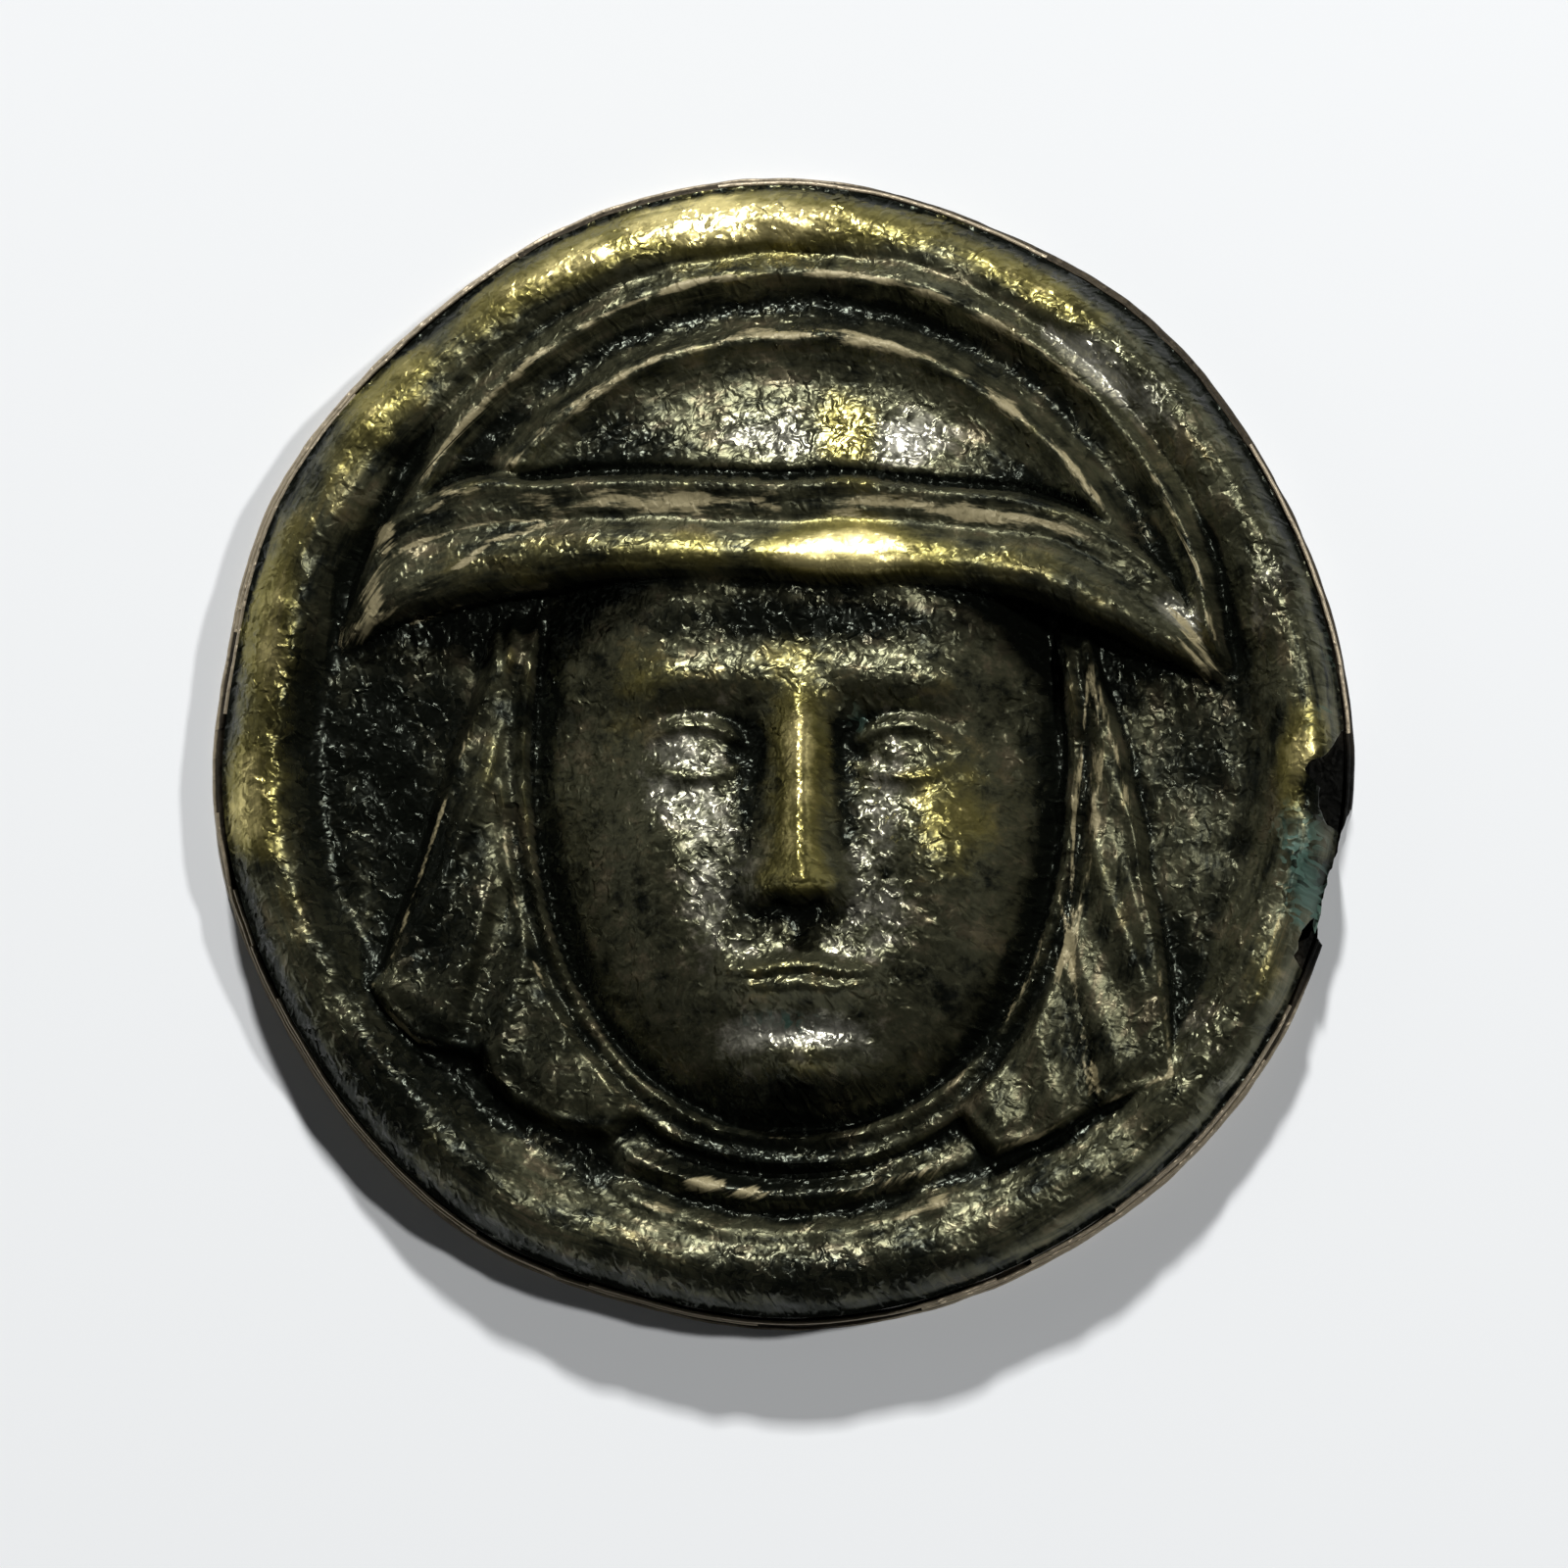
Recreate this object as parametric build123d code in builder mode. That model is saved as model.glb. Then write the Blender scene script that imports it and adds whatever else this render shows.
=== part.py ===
from build123d import *
import math
import os

# A round medallion, millimetres, lying face up: +Z out of the face, +Y to the top of the cap.
# The origin is the middle of the resting plane. Two solids: a hollow embossed front and its backing.

# Driving sizes
mean_radius = 22.5
sheet_thickness = 0.45
piece_gap = 0.06
lip_width = 0.52
lip_thickness = 0.5
field_height = 3.0

# Outline of the whole medallion, as hand-cut. Columns: angle from +X in degrees, radius
OUTLINE = (
    (0, 22.50),
    (30, 22.20),
    (50, 22.46),
    (67, 22.34),
    (89, 22.70),
    (106, 22.62),
    (132, 22.20),
    (155, 22.50),
    (171, 22.26),
    (184, 22.52),
    (210, 22.40),
    (242, 22.68),
    (252, 22.50),
    (270, 22.70),
    (300, 22.60),
    (330, 22.64),
    (345, 22.50),
    (360, 22.50),
)

# Rolled rim: crest inside the wall, foot towards the field. It falls to the wall as the share to this power
roll_crest_radius = 20.1
roll_foot_radius = 17.9
roll_rise = 1.35
roll_fall_power = 2.4
wall_drop = 0.25
wall_radius = mean_radius - lip_width
wall_foot = lip_thickness + piece_gap

# Cap: rings struck about one centre, from the outside in. Columns: ring radius, rise
cap_center = (0.3, 2.1)
CAP = (
    (17.45, 0.0),
    (17.05, 0.8),
    (16.60, 1.5),
    (16.05, 1.1),
    (15.35, 0.85),
    (14.75, 1.3),
    (14.15, 2.15),
    (13.50, 1.8),
    (12.75, 1.55),
    (11.00, 2.1),
    (8.80, 2.9),
    (5.00, 2.9),
)

# Brim, from the left tip to the right. Columns: x, y of the upper edge, y of the lower edge, rise
BRIM = (
    (-17.2, 4.90, 4.00, 0.6),
    (-15.7, 8.70, 4.80, 1.7),
    (-13.4, 10.30, 5.60, 2.7),
    (-9.0, 10.75, 6.35, 4.0),
    (-1.4, 10.75, 6.25, 4.9),
    (5.8, 10.44, 6.20, 4.8),
    (11.6, 9.30, 5.20, 3.6),
    (14.7, 7.20, 3.80, 2.3),
    (17.3, 3.60, 2.50, 0.8),
)
# The flat band above the roll: its height as a share of the roll's, and places across the brim
brim_band_share = 0.80
brim_band_end = 0.42
brim_crest = 0.75
# How roundly the roll swells from the band and falls to the lower edge
brim_swell_power = 1.45
brim_fall_power = 2.6
brim_least_width = 0.4
brim_tip_length = 0.8
# The crack where the cap meets the band
brim_crack = 0.6
brim_crack_width = 0.3

# Head: an upright oval on common proportions, its brow, nose base and chin a third apart
head_center_x = 0.62
head_half_width = 10.2
head_height = 28.9
chin_y = -14.68
eye_y = chin_y + head_height / 2
face_third = head_height * 0.3
nose_base_y = chin_y + face_third
brow_y = nose_base_y + face_third
mouth_y = nose_base_y - face_third / 3
eye_width = head_half_width * 2 / 5
face_rise = 3.6
nose_rise = 2.5
# 2 is an ellipse, more is fuller
oval_power = 2.2
# The dome of the face from the oval's edge inward
dome_width = 6.0
dome_power = 0.55

# Soft mounds and hollows of the face, the same on both sides of its middle line.
# Columns: name, distance from the middle line, y, reach across, reach upward, rise
FACE = (
    ("inner brow", eye_width * 0.6, brow_y + 0.15, 1.9, 0.8, 0.42),
    ("outer brow", eye_width * 1.35, brow_y - 0.1, 2.0, 0.85, 0.5),
    ("temple", eye_width * 2, eye_y + 1.0, 1.6, 3.0, -0.35),
    ("socket", eye_width, eye_y + 0.1, 2.8, 1.9, -1.3),
    ("eyeball", eye_width, eye_y, 1.9, 1.2, 1.35),
    ("upper lid", eye_width, eye_y + 0.95, 1.6, 0.4, 0.25),
    ("cheek", eye_width * 1.4, nose_base_y + 2.2, 2.7, 3.0, 0.75),
    ("jaw", eye_width * 1.5, mouth_y, 2.4, 3.0, 0.35),
    ("muzzle", 0, mouth_y, 3.6, 2.6, 0.5),
    ("nose tip", 0, nose_base_y + 1.05, 1.1, 0.9, 0.45),
    ("nose wing", eye_width * 0.36, nose_base_y + 0.8, 0.7, 0.8, 0.8),
    ("upper lip", eye_width * 0.3, mouth_y + 0.5, 1.9, 0.5, 0.75),
    ("parting", 0, mouth_y - 0.1, 3.0, 0.25, -0.4),
    ("lower lip", 0, mouth_y - 0.75, 2.3, 0.6, 0.85),
    ("under lip", 0, mouth_y - 2.15, 2.2, 0.65, -0.35),
    ("chin", 0, chin_y + 2.6, 2.4, 1.5, 1.0),
)

# Double-edged band that frames the face, by distance out from the head
band_inner = 0.5
band_outer = 1.5
band_edge = 0.3
band_rise = 1.5
band_edge_rise = 0.3

# Hanging side panels, two lobes to a side: corners in turn
LEFT_PANELS = (
    (
        (-11.2, 4.6),
        (-12.1, 1.7),
        (-15.6, -8.6),
        (-16.3, -9.2),
        (-15.6, -10.3),
        (-14.3, -11.5),
        (-11.9, -11.9),
        (-10.6, -6.0),
        (-10.3, 1.0),
    ),
    (
        (-10.9, -6.5),
        (-12.0, -11.3),
        (-11.5, -12.7),
        (-10.4, -13.8),
        (-9.0, -14.5),
        (-6.9, -15.2),
        (-5.2, -13.6),
        (-8.0, -8.0),
        (-9.9, -2.0),
    ),
)
RIGHT_PANELS = (
    (
        (11.9, 4.0),
        (12.7, 1.7),
        (13.9, -3.0),
        (15.1, -10.2),
        (15.3, -12.8),
        (12.3, -14.0),
        (11.2, -9.0),
        (11.2, -3.0),
    ),
    (
        (10.9, -5.0),
        (11.6, -10.0),
        (12.2, -14.0),
        (10.1, -15.2),
        (8.2, -15.8),
        (6.6, -14.0),
        (9.4, -9.0),
    ),
)
panel_rise = 0.95
panel_crown = 0.4
panel_edge = 0.4
fold_rise = 0.2
fold_spacing = 1.55
fold_origin_y = 24.0

# Neckline below the chin: two low ridges struck about one centre. Columns: ridge radius, rise
neckline_center = (0.3, -3.4)
NECKLINE = (
    (14.0, 0.7),
    (15.4, 0.55),
)
neckline_half_angle = 27
neckline_half_width = 0.45

# Losses at the right-hand rim, seen from the front
EDGE_LOSS = (
    (23.6, -1.6),
    (22.35, -2.3),
    (21.6, -4.0),
    (21.25, -5.8),
    (21.05, -7.3),
    (21.3, -8.0),
    (23.6, -9.4),
)
RIM_TEAR = (
    (22.05, 0.75),
    (21.3, -0.1),
    (20.25, -0.75),
    (20.9, -1.5),
    (21.25, -3.0),
    (22.2, -3.5),
    (22.6, -1.0),
)
SMALL_TEAR = (
    (20.2, -6.9),
    (20.75, -6.6),
    (20.95, -8.2),
    (20.3, -8.8),
    (19.95, -8.0),
)

# Backing dish, hollow below, and its strap with two feet
dish_top = 2.2
dish_top_radius = 18.6
dish_foot_radius = 20.6
strap_length = 15.0
strap_width = 4.5
strap_thickness = 0.6
strap_height = 0.25
strap_foot_length = 2.0
strap_foot_width = 4.0
strap_foot_place = strap_length / 2 - 1.2
# How far a foot runs up into the dish above it
bond = 0.1
recess_top = dish_top - sheet_thickness
# The front sheet's inside stays this far above the dish
dish_clearance = 0.15

# How finely the embossed surface is drawn: rings of facets from the middle out
softening = 0.34
softening_samples = 6
outside_rings = 36
inside_rings = 18
ring_step = 6
# The inside keeps the sheet's thickness square to the surface, up to this slope
steepest = 2.2


def ease(start, end, value):
    """0 before start, 1 past end, smooth between."""
    share = min(max((value - start) / (end - start), 0.0), 1.0)
    return share * share * (3.0 - 2.0 * share)


def bell(distance, width):
    """A rounded ridge across its width."""
    return math.exp(-((distance / width) ** 2))


def read_curve(rows, column, place):
    """A smooth curve through one column of a table, by its first column."""
    order = 1.0 if rows[-1][0] > rows[0][0] else -1.0
    last = len(rows) - 1
    if (place - rows[0][0]) * order <= 0:
        return rows[0][column]
    if (place - rows[last][0]) * order >= 0:
        return rows[last][column]
    step = 0
    while (place - rows[step + 1][0]) * order > 0:
        step += 1

    def slope(row):
        before = rows[max(row - 1, 0)]
        after = rows[min(row + 1, last)]
        return (after[column] - before[column]) / (after[0] - before[0])

    span = rows[step + 1][0] - rows[step][0]
    share = (place - rows[step][0]) / span
    low = rows[step][column]
    high = rows[step + 1][column]
    rise = high - low
    start = slope(step) * span
    end = slope(step + 1) * span
    return low + share * (start + share * (3 * rise - 2 * start - end + share * (start + end - 2 * rise)))


def outline_radius(angle_deg):
    return read_curve(OUTLINE, 1, angle_deg % 360.0)


def depth_inside(corners, x, y):
    """Distance in from the sides of a closed outline, negative outside."""
    nearest = math.inf
    inside = False
    for (ax, ay), (bx, by) in zip(corners, corners[1:] + corners[:1]):
        along = ((x - ax) * (bx - ax) + (y - ay) * (by - ay)) / ((bx - ax) ** 2 + (by - ay) ** 2)
        along = min(max(along, 0.0), 1.0)
        nearest = min(nearest, math.hypot(x - ax - along * (bx - ax), y - ay - along * (by - ay)))
        if (ay > y) != (by > y) and x < ax + (y - ay) * (bx - ax) / (by - ay):
            inside = not inside
    return nearest if inside else -nearest


def rim_rise(radius):
    """The rolled rim, by radius as if the outline were round."""
    if radius > roll_crest_radius:
        share = (radius - roll_crest_radius) / (wall_radius - roll_crest_radius)
        return roll_rise - (roll_rise + wall_drop) * share**roll_fall_power
    return roll_rise * ease(roll_foot_radius, roll_crest_radius, radius)


def cap_rise(x, y):
    """Rings of the cap, with a crack where they meet the brim."""
    ring = math.hypot(x - cap_center[0], y - cap_center[1])
    over = y - read_curve(BRIM, 1, x)
    rings = read_curve(CAP, 1, ring) if ring < CAP[0][0] else 0.0
    crack = brim_crack * bell(over - brim_crack_width / 2, brim_crack_width) if ring < CAP[2][0] else 0.0
    return ease(-0.7, -0.1, over) * max(rings - crack, 0.0)


def brim_rise(x, y):
    """A flat band along the brim's upper edge, then its heavy roll."""
    upper = read_curve(BRIM, 1, x)
    lower = read_curve(BRIM, 2, x)
    across = (upper - y) / max(upper - lower, brim_least_width)
    ends = ease(BRIM[0][0] - 0.3, BRIM[0][0] + brim_tip_length, x)
    ends *= ease(BRIM[-1][0] + 0.3, BRIM[-1][0] - brim_tip_length, x)
    if across < brim_crest:
        swell = max((across - brim_band_end) / (brim_crest - brim_band_end), 0.0)
        share = brim_band_share * ease(-0.04, 0.08, across)
        share += (1 - brim_band_share) * (1 - (1 - swell) ** brim_swell_power)
    else:
        fall = min((across - brim_crest) / (1 - brim_crest), 1.0)
        share = math.sqrt(1 - fall**brim_fall_power)
    return read_curve(BRIM, 3, x) * ends * share


def head_distance(x, y):
    """How far outside the oval a place lies, negative inside."""
    across = (x - head_center_x) / head_half_width
    upward = (y - eye_y) / (head_height / 2)
    size = (abs(across) ** oval_power + abs(upward) ** oval_power) ** (1 / oval_power)
    scale = math.hypot(x - head_center_x, y - eye_y) / max(size, 1e-6)
    return (size - 1) * scale


def face_relief(x, y):
    """A calm, even face on the oval head."""
    apart = abs(x - head_center_x)
    outside = head_distance(x, y)
    if outside > 1.0:
        return 0.0
    dome = ease(0.15, -dome_width, outside) ** dome_power * face_rise
    mounds = sum(
        rise * bell(apart - across, reach_across) * bell(y - upward, reach_upward)
        for name, across, upward, reach_across, reach_upward, rise in FACE
    )
    run = min(max((brow_y - y) / (brow_y - nose_base_y), 0.0), 1.0)
    length = ease(brow_y + 1.8, brow_y - 1.6, y) * ease(nose_base_y - 0.35, nose_base_y + 0.7, y)
    ridge = nose_rise * (0.3 + 0.7 * run) * bell(apart, 1.0 + 0.5 * run**2) * length
    return (dome + mounds + ridge) * ease(9.5, 7.0, y)


def face_band(outside, y):
    """The narrow band round the face, by distance out from the head."""
    flat = ease(band_inner - 0.3, band_inner, outside) * ease(band_outer + 0.3, band_outer, outside)
    edges = bell(outside - band_inner, band_edge) + bell(outside - band_outer, band_edge)
    low = 0.55 + 0.45 * ease(-13.0, -4.0, y)
    return low * (band_rise * flat + band_edge_rise * edges) * ease(5.5, 3.5, y)


def panel_relief(corners, x, y):
    """A hanging panel with rounded edges and soft upright folds."""
    depth = depth_inside(corners, x, y)
    raised = ease(-panel_edge, panel_edge, depth) * ease(band_outer - 0.4, band_outer, head_distance(x, y))
    if raised == 0.0:
        return 0.0
    fan = math.atan2(x - head_center_x, fold_origin_y - y) * fold_origin_y
    folds = fold_rise * (1 - 2 * abs(math.sin(math.pi * fan / fold_spacing)) ** 1.4)
    return raised * (panel_rise + panel_crown * ease(0.0, 1.3, depth) + folds * ease(-0.1, 0.5, depth))


def neckline_relief(x, y):
    """Two ridges under the chin, fading at their ends."""
    dx = x - neckline_center[0]
    dy = neckline_center[1] - y
    from_center = math.hypot(dx, dy)
    turned = abs(math.degrees(math.atan2(dx, dy)))
    fade = ease(neckline_half_angle + 6, neckline_half_angle - 6, turned)
    return fade * sum(rise * bell(from_center - radius, neckline_half_width) for radius, rise in NECKLINE)


def drawn_height(x, y):
    """Height of the embossed front over the resting plane, with every edge as drawn."""
    angle = math.degrees(math.atan2(y, x))
    round_radius = math.hypot(x, y) * mean_radius / outline_radius(angle)
    ground = rim_rise(round_radius) + neckline_relief(x, y) + cap_rise(x, y)
    panels = [panel_relief(corners, x, y) for corners in LEFT_PANELS + RIGHT_PANELS]
    band = face_band(head_distance(x, y), y)
    return field_height + max(ground, band, face_relief(x, y), brim_rise(x, y), *panels)


def surface_height(x, y):
    """The same height with its edges softened, as a sheet bends over its die."""
    total = drawn_height(x, y)
    for step in range(softening_samples):
        turn = 2 * math.pi * step / softening_samples
        total += drawn_height(x + softening * math.cos(turn), y + softening * math.sin(turn))
    return total / (1 + softening_samples)


def sheet_place(turn, share, inset):
    """Plan place at a share of a turn and a share of the way out to the wall."""
    angle = 360.0 * turn
    reach = share * (outline_radius(angle) - lip_width - inset)
    return reach * math.cos(math.radians(angle)), reach * math.sin(math.radians(angle))


def sheet_point(turn, share, inset):
    """A point of the sheet's outside for no inset, else of its inside."""
    probe = 0.02
    x, y = sheet_place(turn, share, inset)
    slope_x = (surface_height(x + probe, y) - surface_height(x - probe, y)) / (2 * probe)
    slope_y = (surface_height(x, y + probe) - surface_height(x, y - probe)) / (2 * probe)
    steepness = min(math.hypot(slope_x, slope_y), steepest)
    inner_height = surface_height(x, y) - inset * math.hypot(1, steepness)
    return Vector(x, y, max(inner_height, dish_top + dish_clearance))


def ring_of_points(ring, rings, inset):
    """Each ring holds as many more points than the one inside it."""
    count = max(ring_step * ring, 1)
    return [sheet_point(step / count, ring / rings, inset) for step in range(count)]


def disc_facets(rings, inset):
    """Near-even triangles over the whole plan, and the outermost ring of points."""
    facets = []
    inner = ring_of_points(0, rings, inset)
    for ring in range(1, rings + 1):
        outer = ring_of_points(ring, rings, inset)
        for step in range(len(outer)):
            sector, along = divmod(step, ring)
            near = inner[(sector * (ring - 1) + along) % len(inner)]
            following = outer[(step + 1) % len(outer)]
            facets.append(Face(Wire.make_polygon([near, outer[step], following])))
            if along < ring - 1:
                beside = inner[(sector * (ring - 1) + along + 1) % len(inner)]
                facets.append(Face(Wire.make_polygon([near, following, beside])))
        inner = outer
    return facets, inner


def wall_facets(edge_ring):
    """Upright facets from a ring of points down to the wall's foot."""
    facets = []
    for start, end in zip(edge_ring, edge_ring[1:] + edge_ring[:1]):
        end_foot = Vector(end.X, end.Y, wall_foot)
        start_foot = Vector(start.X, start.Y, wall_foot)
        facets.append(Face(Wire.make_polygon([start, end, end_foot, start_foot])))
    return facets


def foot_loop(edge_ring):
    return Wire.make_polygon([Vector(point.X, point.Y, wall_foot) for point in edge_ring])


with BuildPart() as front_sheet:
    outside, outer_ring = disc_facets(outside_rings, 0.0)
    inside, inner_ring = disc_facets(inside_rings, sheet_thickness)
    foot = Face(foot_loop(outer_ring), [foot_loop(inner_ring)])
    walls = wall_facets(outer_ring) + wall_facets(inner_ring)
    add(Solid(Shell(outside + inside + walls + [foot])))
    with BuildSketch():
        for loss in (EDGE_LOSS, RIM_TEAR, SMALL_TEAR):
            Polygon(*loss, align=None)
    extrude(amount=field_height * 3, mode=Mode.SUBTRACT)

with BuildPart() as back_plate:
    with BuildSketch():
        with BuildLine():
            Spline(
                *[Vector(outline_radius(angle), 0).rotate(Axis.Z, angle) for angle in range(0, 360, 10)],
                periodic=True,
            )
        make_face()
    extrude(amount=lip_thickness)
    with BuildSketch(Plane.XZ):
        with BuildLine():
            Polyline(
                (0, 0),
                (dish_foot_radius, 0),
                (dish_foot_radius, lip_thickness),
                (dish_top_radius, dish_top),
                (0, dish_top),
                close=True,
            )
        make_face()
    revolve(axis=Axis.Z)
    with BuildSketch(Plane.XZ):
        with BuildLine():
            Polyline(
                (0, 0),
                (dish_foot_radius - sheet_thickness, 0),
                (dish_top_radius - sheet_thickness, recess_top),
                (0, recess_top),
                close=True,
            )
        make_face()
    revolve(axis=Axis.Z, mode=Mode.SUBTRACT)
    with BuildSketch(Plane.XY.offset(strap_height)):
        SlotOverall(strap_length, strap_width)
    extrude(amount=strap_thickness)
    with BuildSketch(Plane.XY.offset(strap_height)):
        with Locations((-strap_foot_place, 0), (strap_foot_place, 0)):
            SlotOverall(strap_foot_width, strap_foot_length, rotation=90)
    extrude(amount=recess_top - strap_height + bond)
    with BuildSketch():
        Polygon(*EDGE_LOSS, align=None)
    extrude(amount=field_height, mode=Mode.SUBTRACT)

front_sheet.part.label = "front_sheet"
back_plate.part.label = "back_plate"

os.makedirs("parts", exist_ok=True)
export_step(front_sheet.part, "parts/front_sheet.step")
export_step(back_plate.part, "parts/back_plate.step")
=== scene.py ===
"""A hollow embossed medallion, lying face up on a pale table under studio lights."""

import logging
import math
from collections.abc import Callable
from dataclasses import dataclass
from enum import Enum

import bmesh
import bpy
import numpy as np
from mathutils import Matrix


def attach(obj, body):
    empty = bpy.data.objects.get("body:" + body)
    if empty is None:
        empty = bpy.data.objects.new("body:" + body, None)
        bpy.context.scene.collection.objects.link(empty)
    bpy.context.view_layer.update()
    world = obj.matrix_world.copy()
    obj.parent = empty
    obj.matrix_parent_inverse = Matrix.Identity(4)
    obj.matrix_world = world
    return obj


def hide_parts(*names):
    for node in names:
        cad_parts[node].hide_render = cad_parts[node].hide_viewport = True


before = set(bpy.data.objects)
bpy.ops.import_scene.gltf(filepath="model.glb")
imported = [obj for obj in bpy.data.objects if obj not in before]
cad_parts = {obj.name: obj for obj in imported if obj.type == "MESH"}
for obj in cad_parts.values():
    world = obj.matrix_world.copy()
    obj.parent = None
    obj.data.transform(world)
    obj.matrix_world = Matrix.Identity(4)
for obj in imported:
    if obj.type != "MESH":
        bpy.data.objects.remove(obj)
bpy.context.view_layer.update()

LOG = logging.getLogger("medallion")
MM = 0.001
HALF = (0.5, 0.5, 0.5)
# the same loss is cut from the front and from the backing
EDGE_LOSS_SEED = 3

Row = tuple[float, ...]
Table = tuple[Row, ...]
Color = tuple[float, float, float]


# Small curves that the shapes are drawn with


def ease(start: float, end: float, value: np.ndarray) -> np.ndarray:
    """Smooth step from 0 at start to 1 at end, where end may be below start."""
    share = np.clip((value - start) / (end - start), 0.0, 1.0)
    return share * share * (3.0 - 2.0 * share)


def bell(distance: np.ndarray, width: float | np.ndarray) -> np.ndarray:
    """A rounded ridge, 1 at its line and about a third at its width."""
    return np.exp(-((distance / width) ** 2))


def read_curve(rows: Table, column: int, place: np.ndarray) -> np.ndarray:
    """Smooth curve through one column of a table.

    Args:
        rows: Table sorted by its first column, rising or falling.
        column: Column to read.
        place: Places along the first column.

    Returns:
        The column's value at each place, held level past both ends.
    """
    table = np.array(rows if rows[-1][0] > rows[0][0] else rows[::-1], dtype=float)
    keys, values = table[:, 0], table[:, column]
    slopes = np.gradient(values, keys)
    held = np.clip(place, keys[0], keys[-1])
    step = np.clip(np.searchsorted(keys, held, side="right") - 1, 0, len(keys) - 2)
    span = keys[step + 1] - keys[step]
    share = (held - keys[step]) / span
    rise = values[step + 1] - values[step]
    start, end = slopes[step] * span, slopes[step + 1] * span
    square, cube = 3 * rise - 2 * start - end, start + end - 2 * rise
    return values[step] + share * (start + share * (square + share * cube))


def depth_inside(corners: Table, x: np.ndarray, y: np.ndarray) -> np.ndarray:
    """Distance in from the sides of a closed outline.

    Args:
        corners: The outline's corners in turn.
        x: Places across.
        y: Places upward.

    Returns:
        The distance, negative outside.
    """
    nearest = np.full(np.shape(x), np.inf)
    inside = np.zeros(np.shape(x), dtype=bool)
    for (ax, ay), (bx, by) in zip(corners, corners[1:] + corners[:1]):
        along = ((x - ax) * (bx - ax) + (y - ay) * (by - ay)) / ((bx - ax) ** 2 + (by - ay) ** 2)
        along = np.clip(along, 0.0, 1.0)
        nearest = np.minimum(nearest, np.hypot(x - ax - along * (bx - ax), y - ay - along * (by - ay)))
        if ay != by:
            crosses = ((ay > y) != (by > y)) & (x < ax + (y - ay) * (bx - ax) / (by - ay))
            inside ^= crosses
    return np.where(inside, nearest, -nearest)


def path_distance(points: Table, x: np.ndarray, y: np.ndarray) -> tuple[np.ndarray, np.ndarray]:
    """Distance from a run of straight pieces, and how far along it the nearest place is.

    Args:
        points: The run's points in turn.
        x: Places across.
        y: Places upward.

    Returns:
        The distance, and the share of the run from 0 to 1.
    """
    nearest = np.full(np.shape(x), np.inf)
    share = np.zeros(np.shape(x))
    lengths = [math.dist(a[:2], b[:2]) for a, b in zip(points, points[1:])]
    gone = 0.0
    for (ax, ay), (bx, by), length in zip(points, points[1:], lengths):
        along = np.clip(((x - ax) * (bx - ax) + (y - ay) * (by - ay)) / length**2, 0.0, 1.0)
        away = np.hypot(x - ax - along * (bx - ax), y - ay - along * (by - ay))
        closer = away < nearest
        nearest = np.where(closer, away, nearest)
        share = np.where(closer, (gone + along * length) / sum(lengths), share)
        gone += length
    return nearest, share


def path_bell(points: Table, width: float, x: np.ndarray, y: np.ndarray) -> np.ndarray:
    """A rounded ridge along a run of straight pieces."""
    return bell(path_distance(points, x, y)[0], width)


def patches(rows: Table, x: np.ndarray, y: np.ndarray) -> np.ndarray:
    """Strongest of several soft oval patches.

    Args:
        rows: Patches as x, y, reach across, reach upward, turn in degrees, strength.
        x: Places across.
        y: Places upward.

    Returns:
        The strength at each place.
    """
    strongest = np.zeros(np.shape(x))
    for center_x, center_y, wide, tall, turn, strength in rows:
        cos, sin = math.cos(math.radians(turn)), math.sin(math.radians(turn))
        u = ((x - center_x) * cos + (y - center_y) * sin) / wide
        v = (-(x - center_x) * sin + (y - center_y) * cos) / tall
        strongest = np.maximum(strongest, strength * np.exp(-(u * u + v * v)))
    return strongest


@dataclass(frozen=True)
class Unevenness:
    """Smooth seeded noise over the plan, for hand-beaten metal."""

    seed: int
    spacing: float
    octaves: int = 3
    side: int = 64

    def at(self, x: np.ndarray, y: np.ndarray) -> np.ndarray:
        """Noise at places of the plan.

        Args:
            x: Places across.
            y: Places upward.

        Returns:
            Values from about -1 to 1.
        """
        total = np.zeros(np.shape(x))
        scale, weight = self.spacing, 1.0
        for octave in range(self.octaves):
            lattice = np.random.default_rng(self.seed + octave).uniform(-1.0, 1.0, (self.side, self.side))
            total += weight * self._read(lattice, x / scale + 7.3 * octave, y / scale + 3.1 * octave)
            scale, weight = scale / 2.0, weight / 2.0
        return total / (2.0 - 2.0 * weight)

    def _read(self, lattice: np.ndarray, u: np.ndarray, v: np.ndarray) -> np.ndarray:
        """Reads the lattice between its nodes.

        Args:
            lattice: Square grid of values that repeats.
            u: Places across in nodes.
            v: Places upward in nodes.

        Returns:
            The values, smooth between nodes.
        """
        low_u, low_v = np.floor(u).astype(int), np.floor(v).astype(int)
        share_u, share_v = u - low_u, v - low_v
        share_u = share_u * share_u * (3 - 2 * share_u)
        share_v = share_v * share_v * (3 - 2 * share_v)

        def node(du: int, dv: int) -> np.ndarray:
            """Value of the node that many steps on."""
            return lattice[(low_v + dv) % self.side, (low_u + du) % self.side]

        lower = node(0, 0) * (1 - share_u) + node(1, 0) * share_u
        upper = node(0, 1) * (1 - share_u) + node(1, 1) * share_u
        return lower * (1 - share_v) + upper * share_v


# The relief, in millimetres over the resting plane


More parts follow.
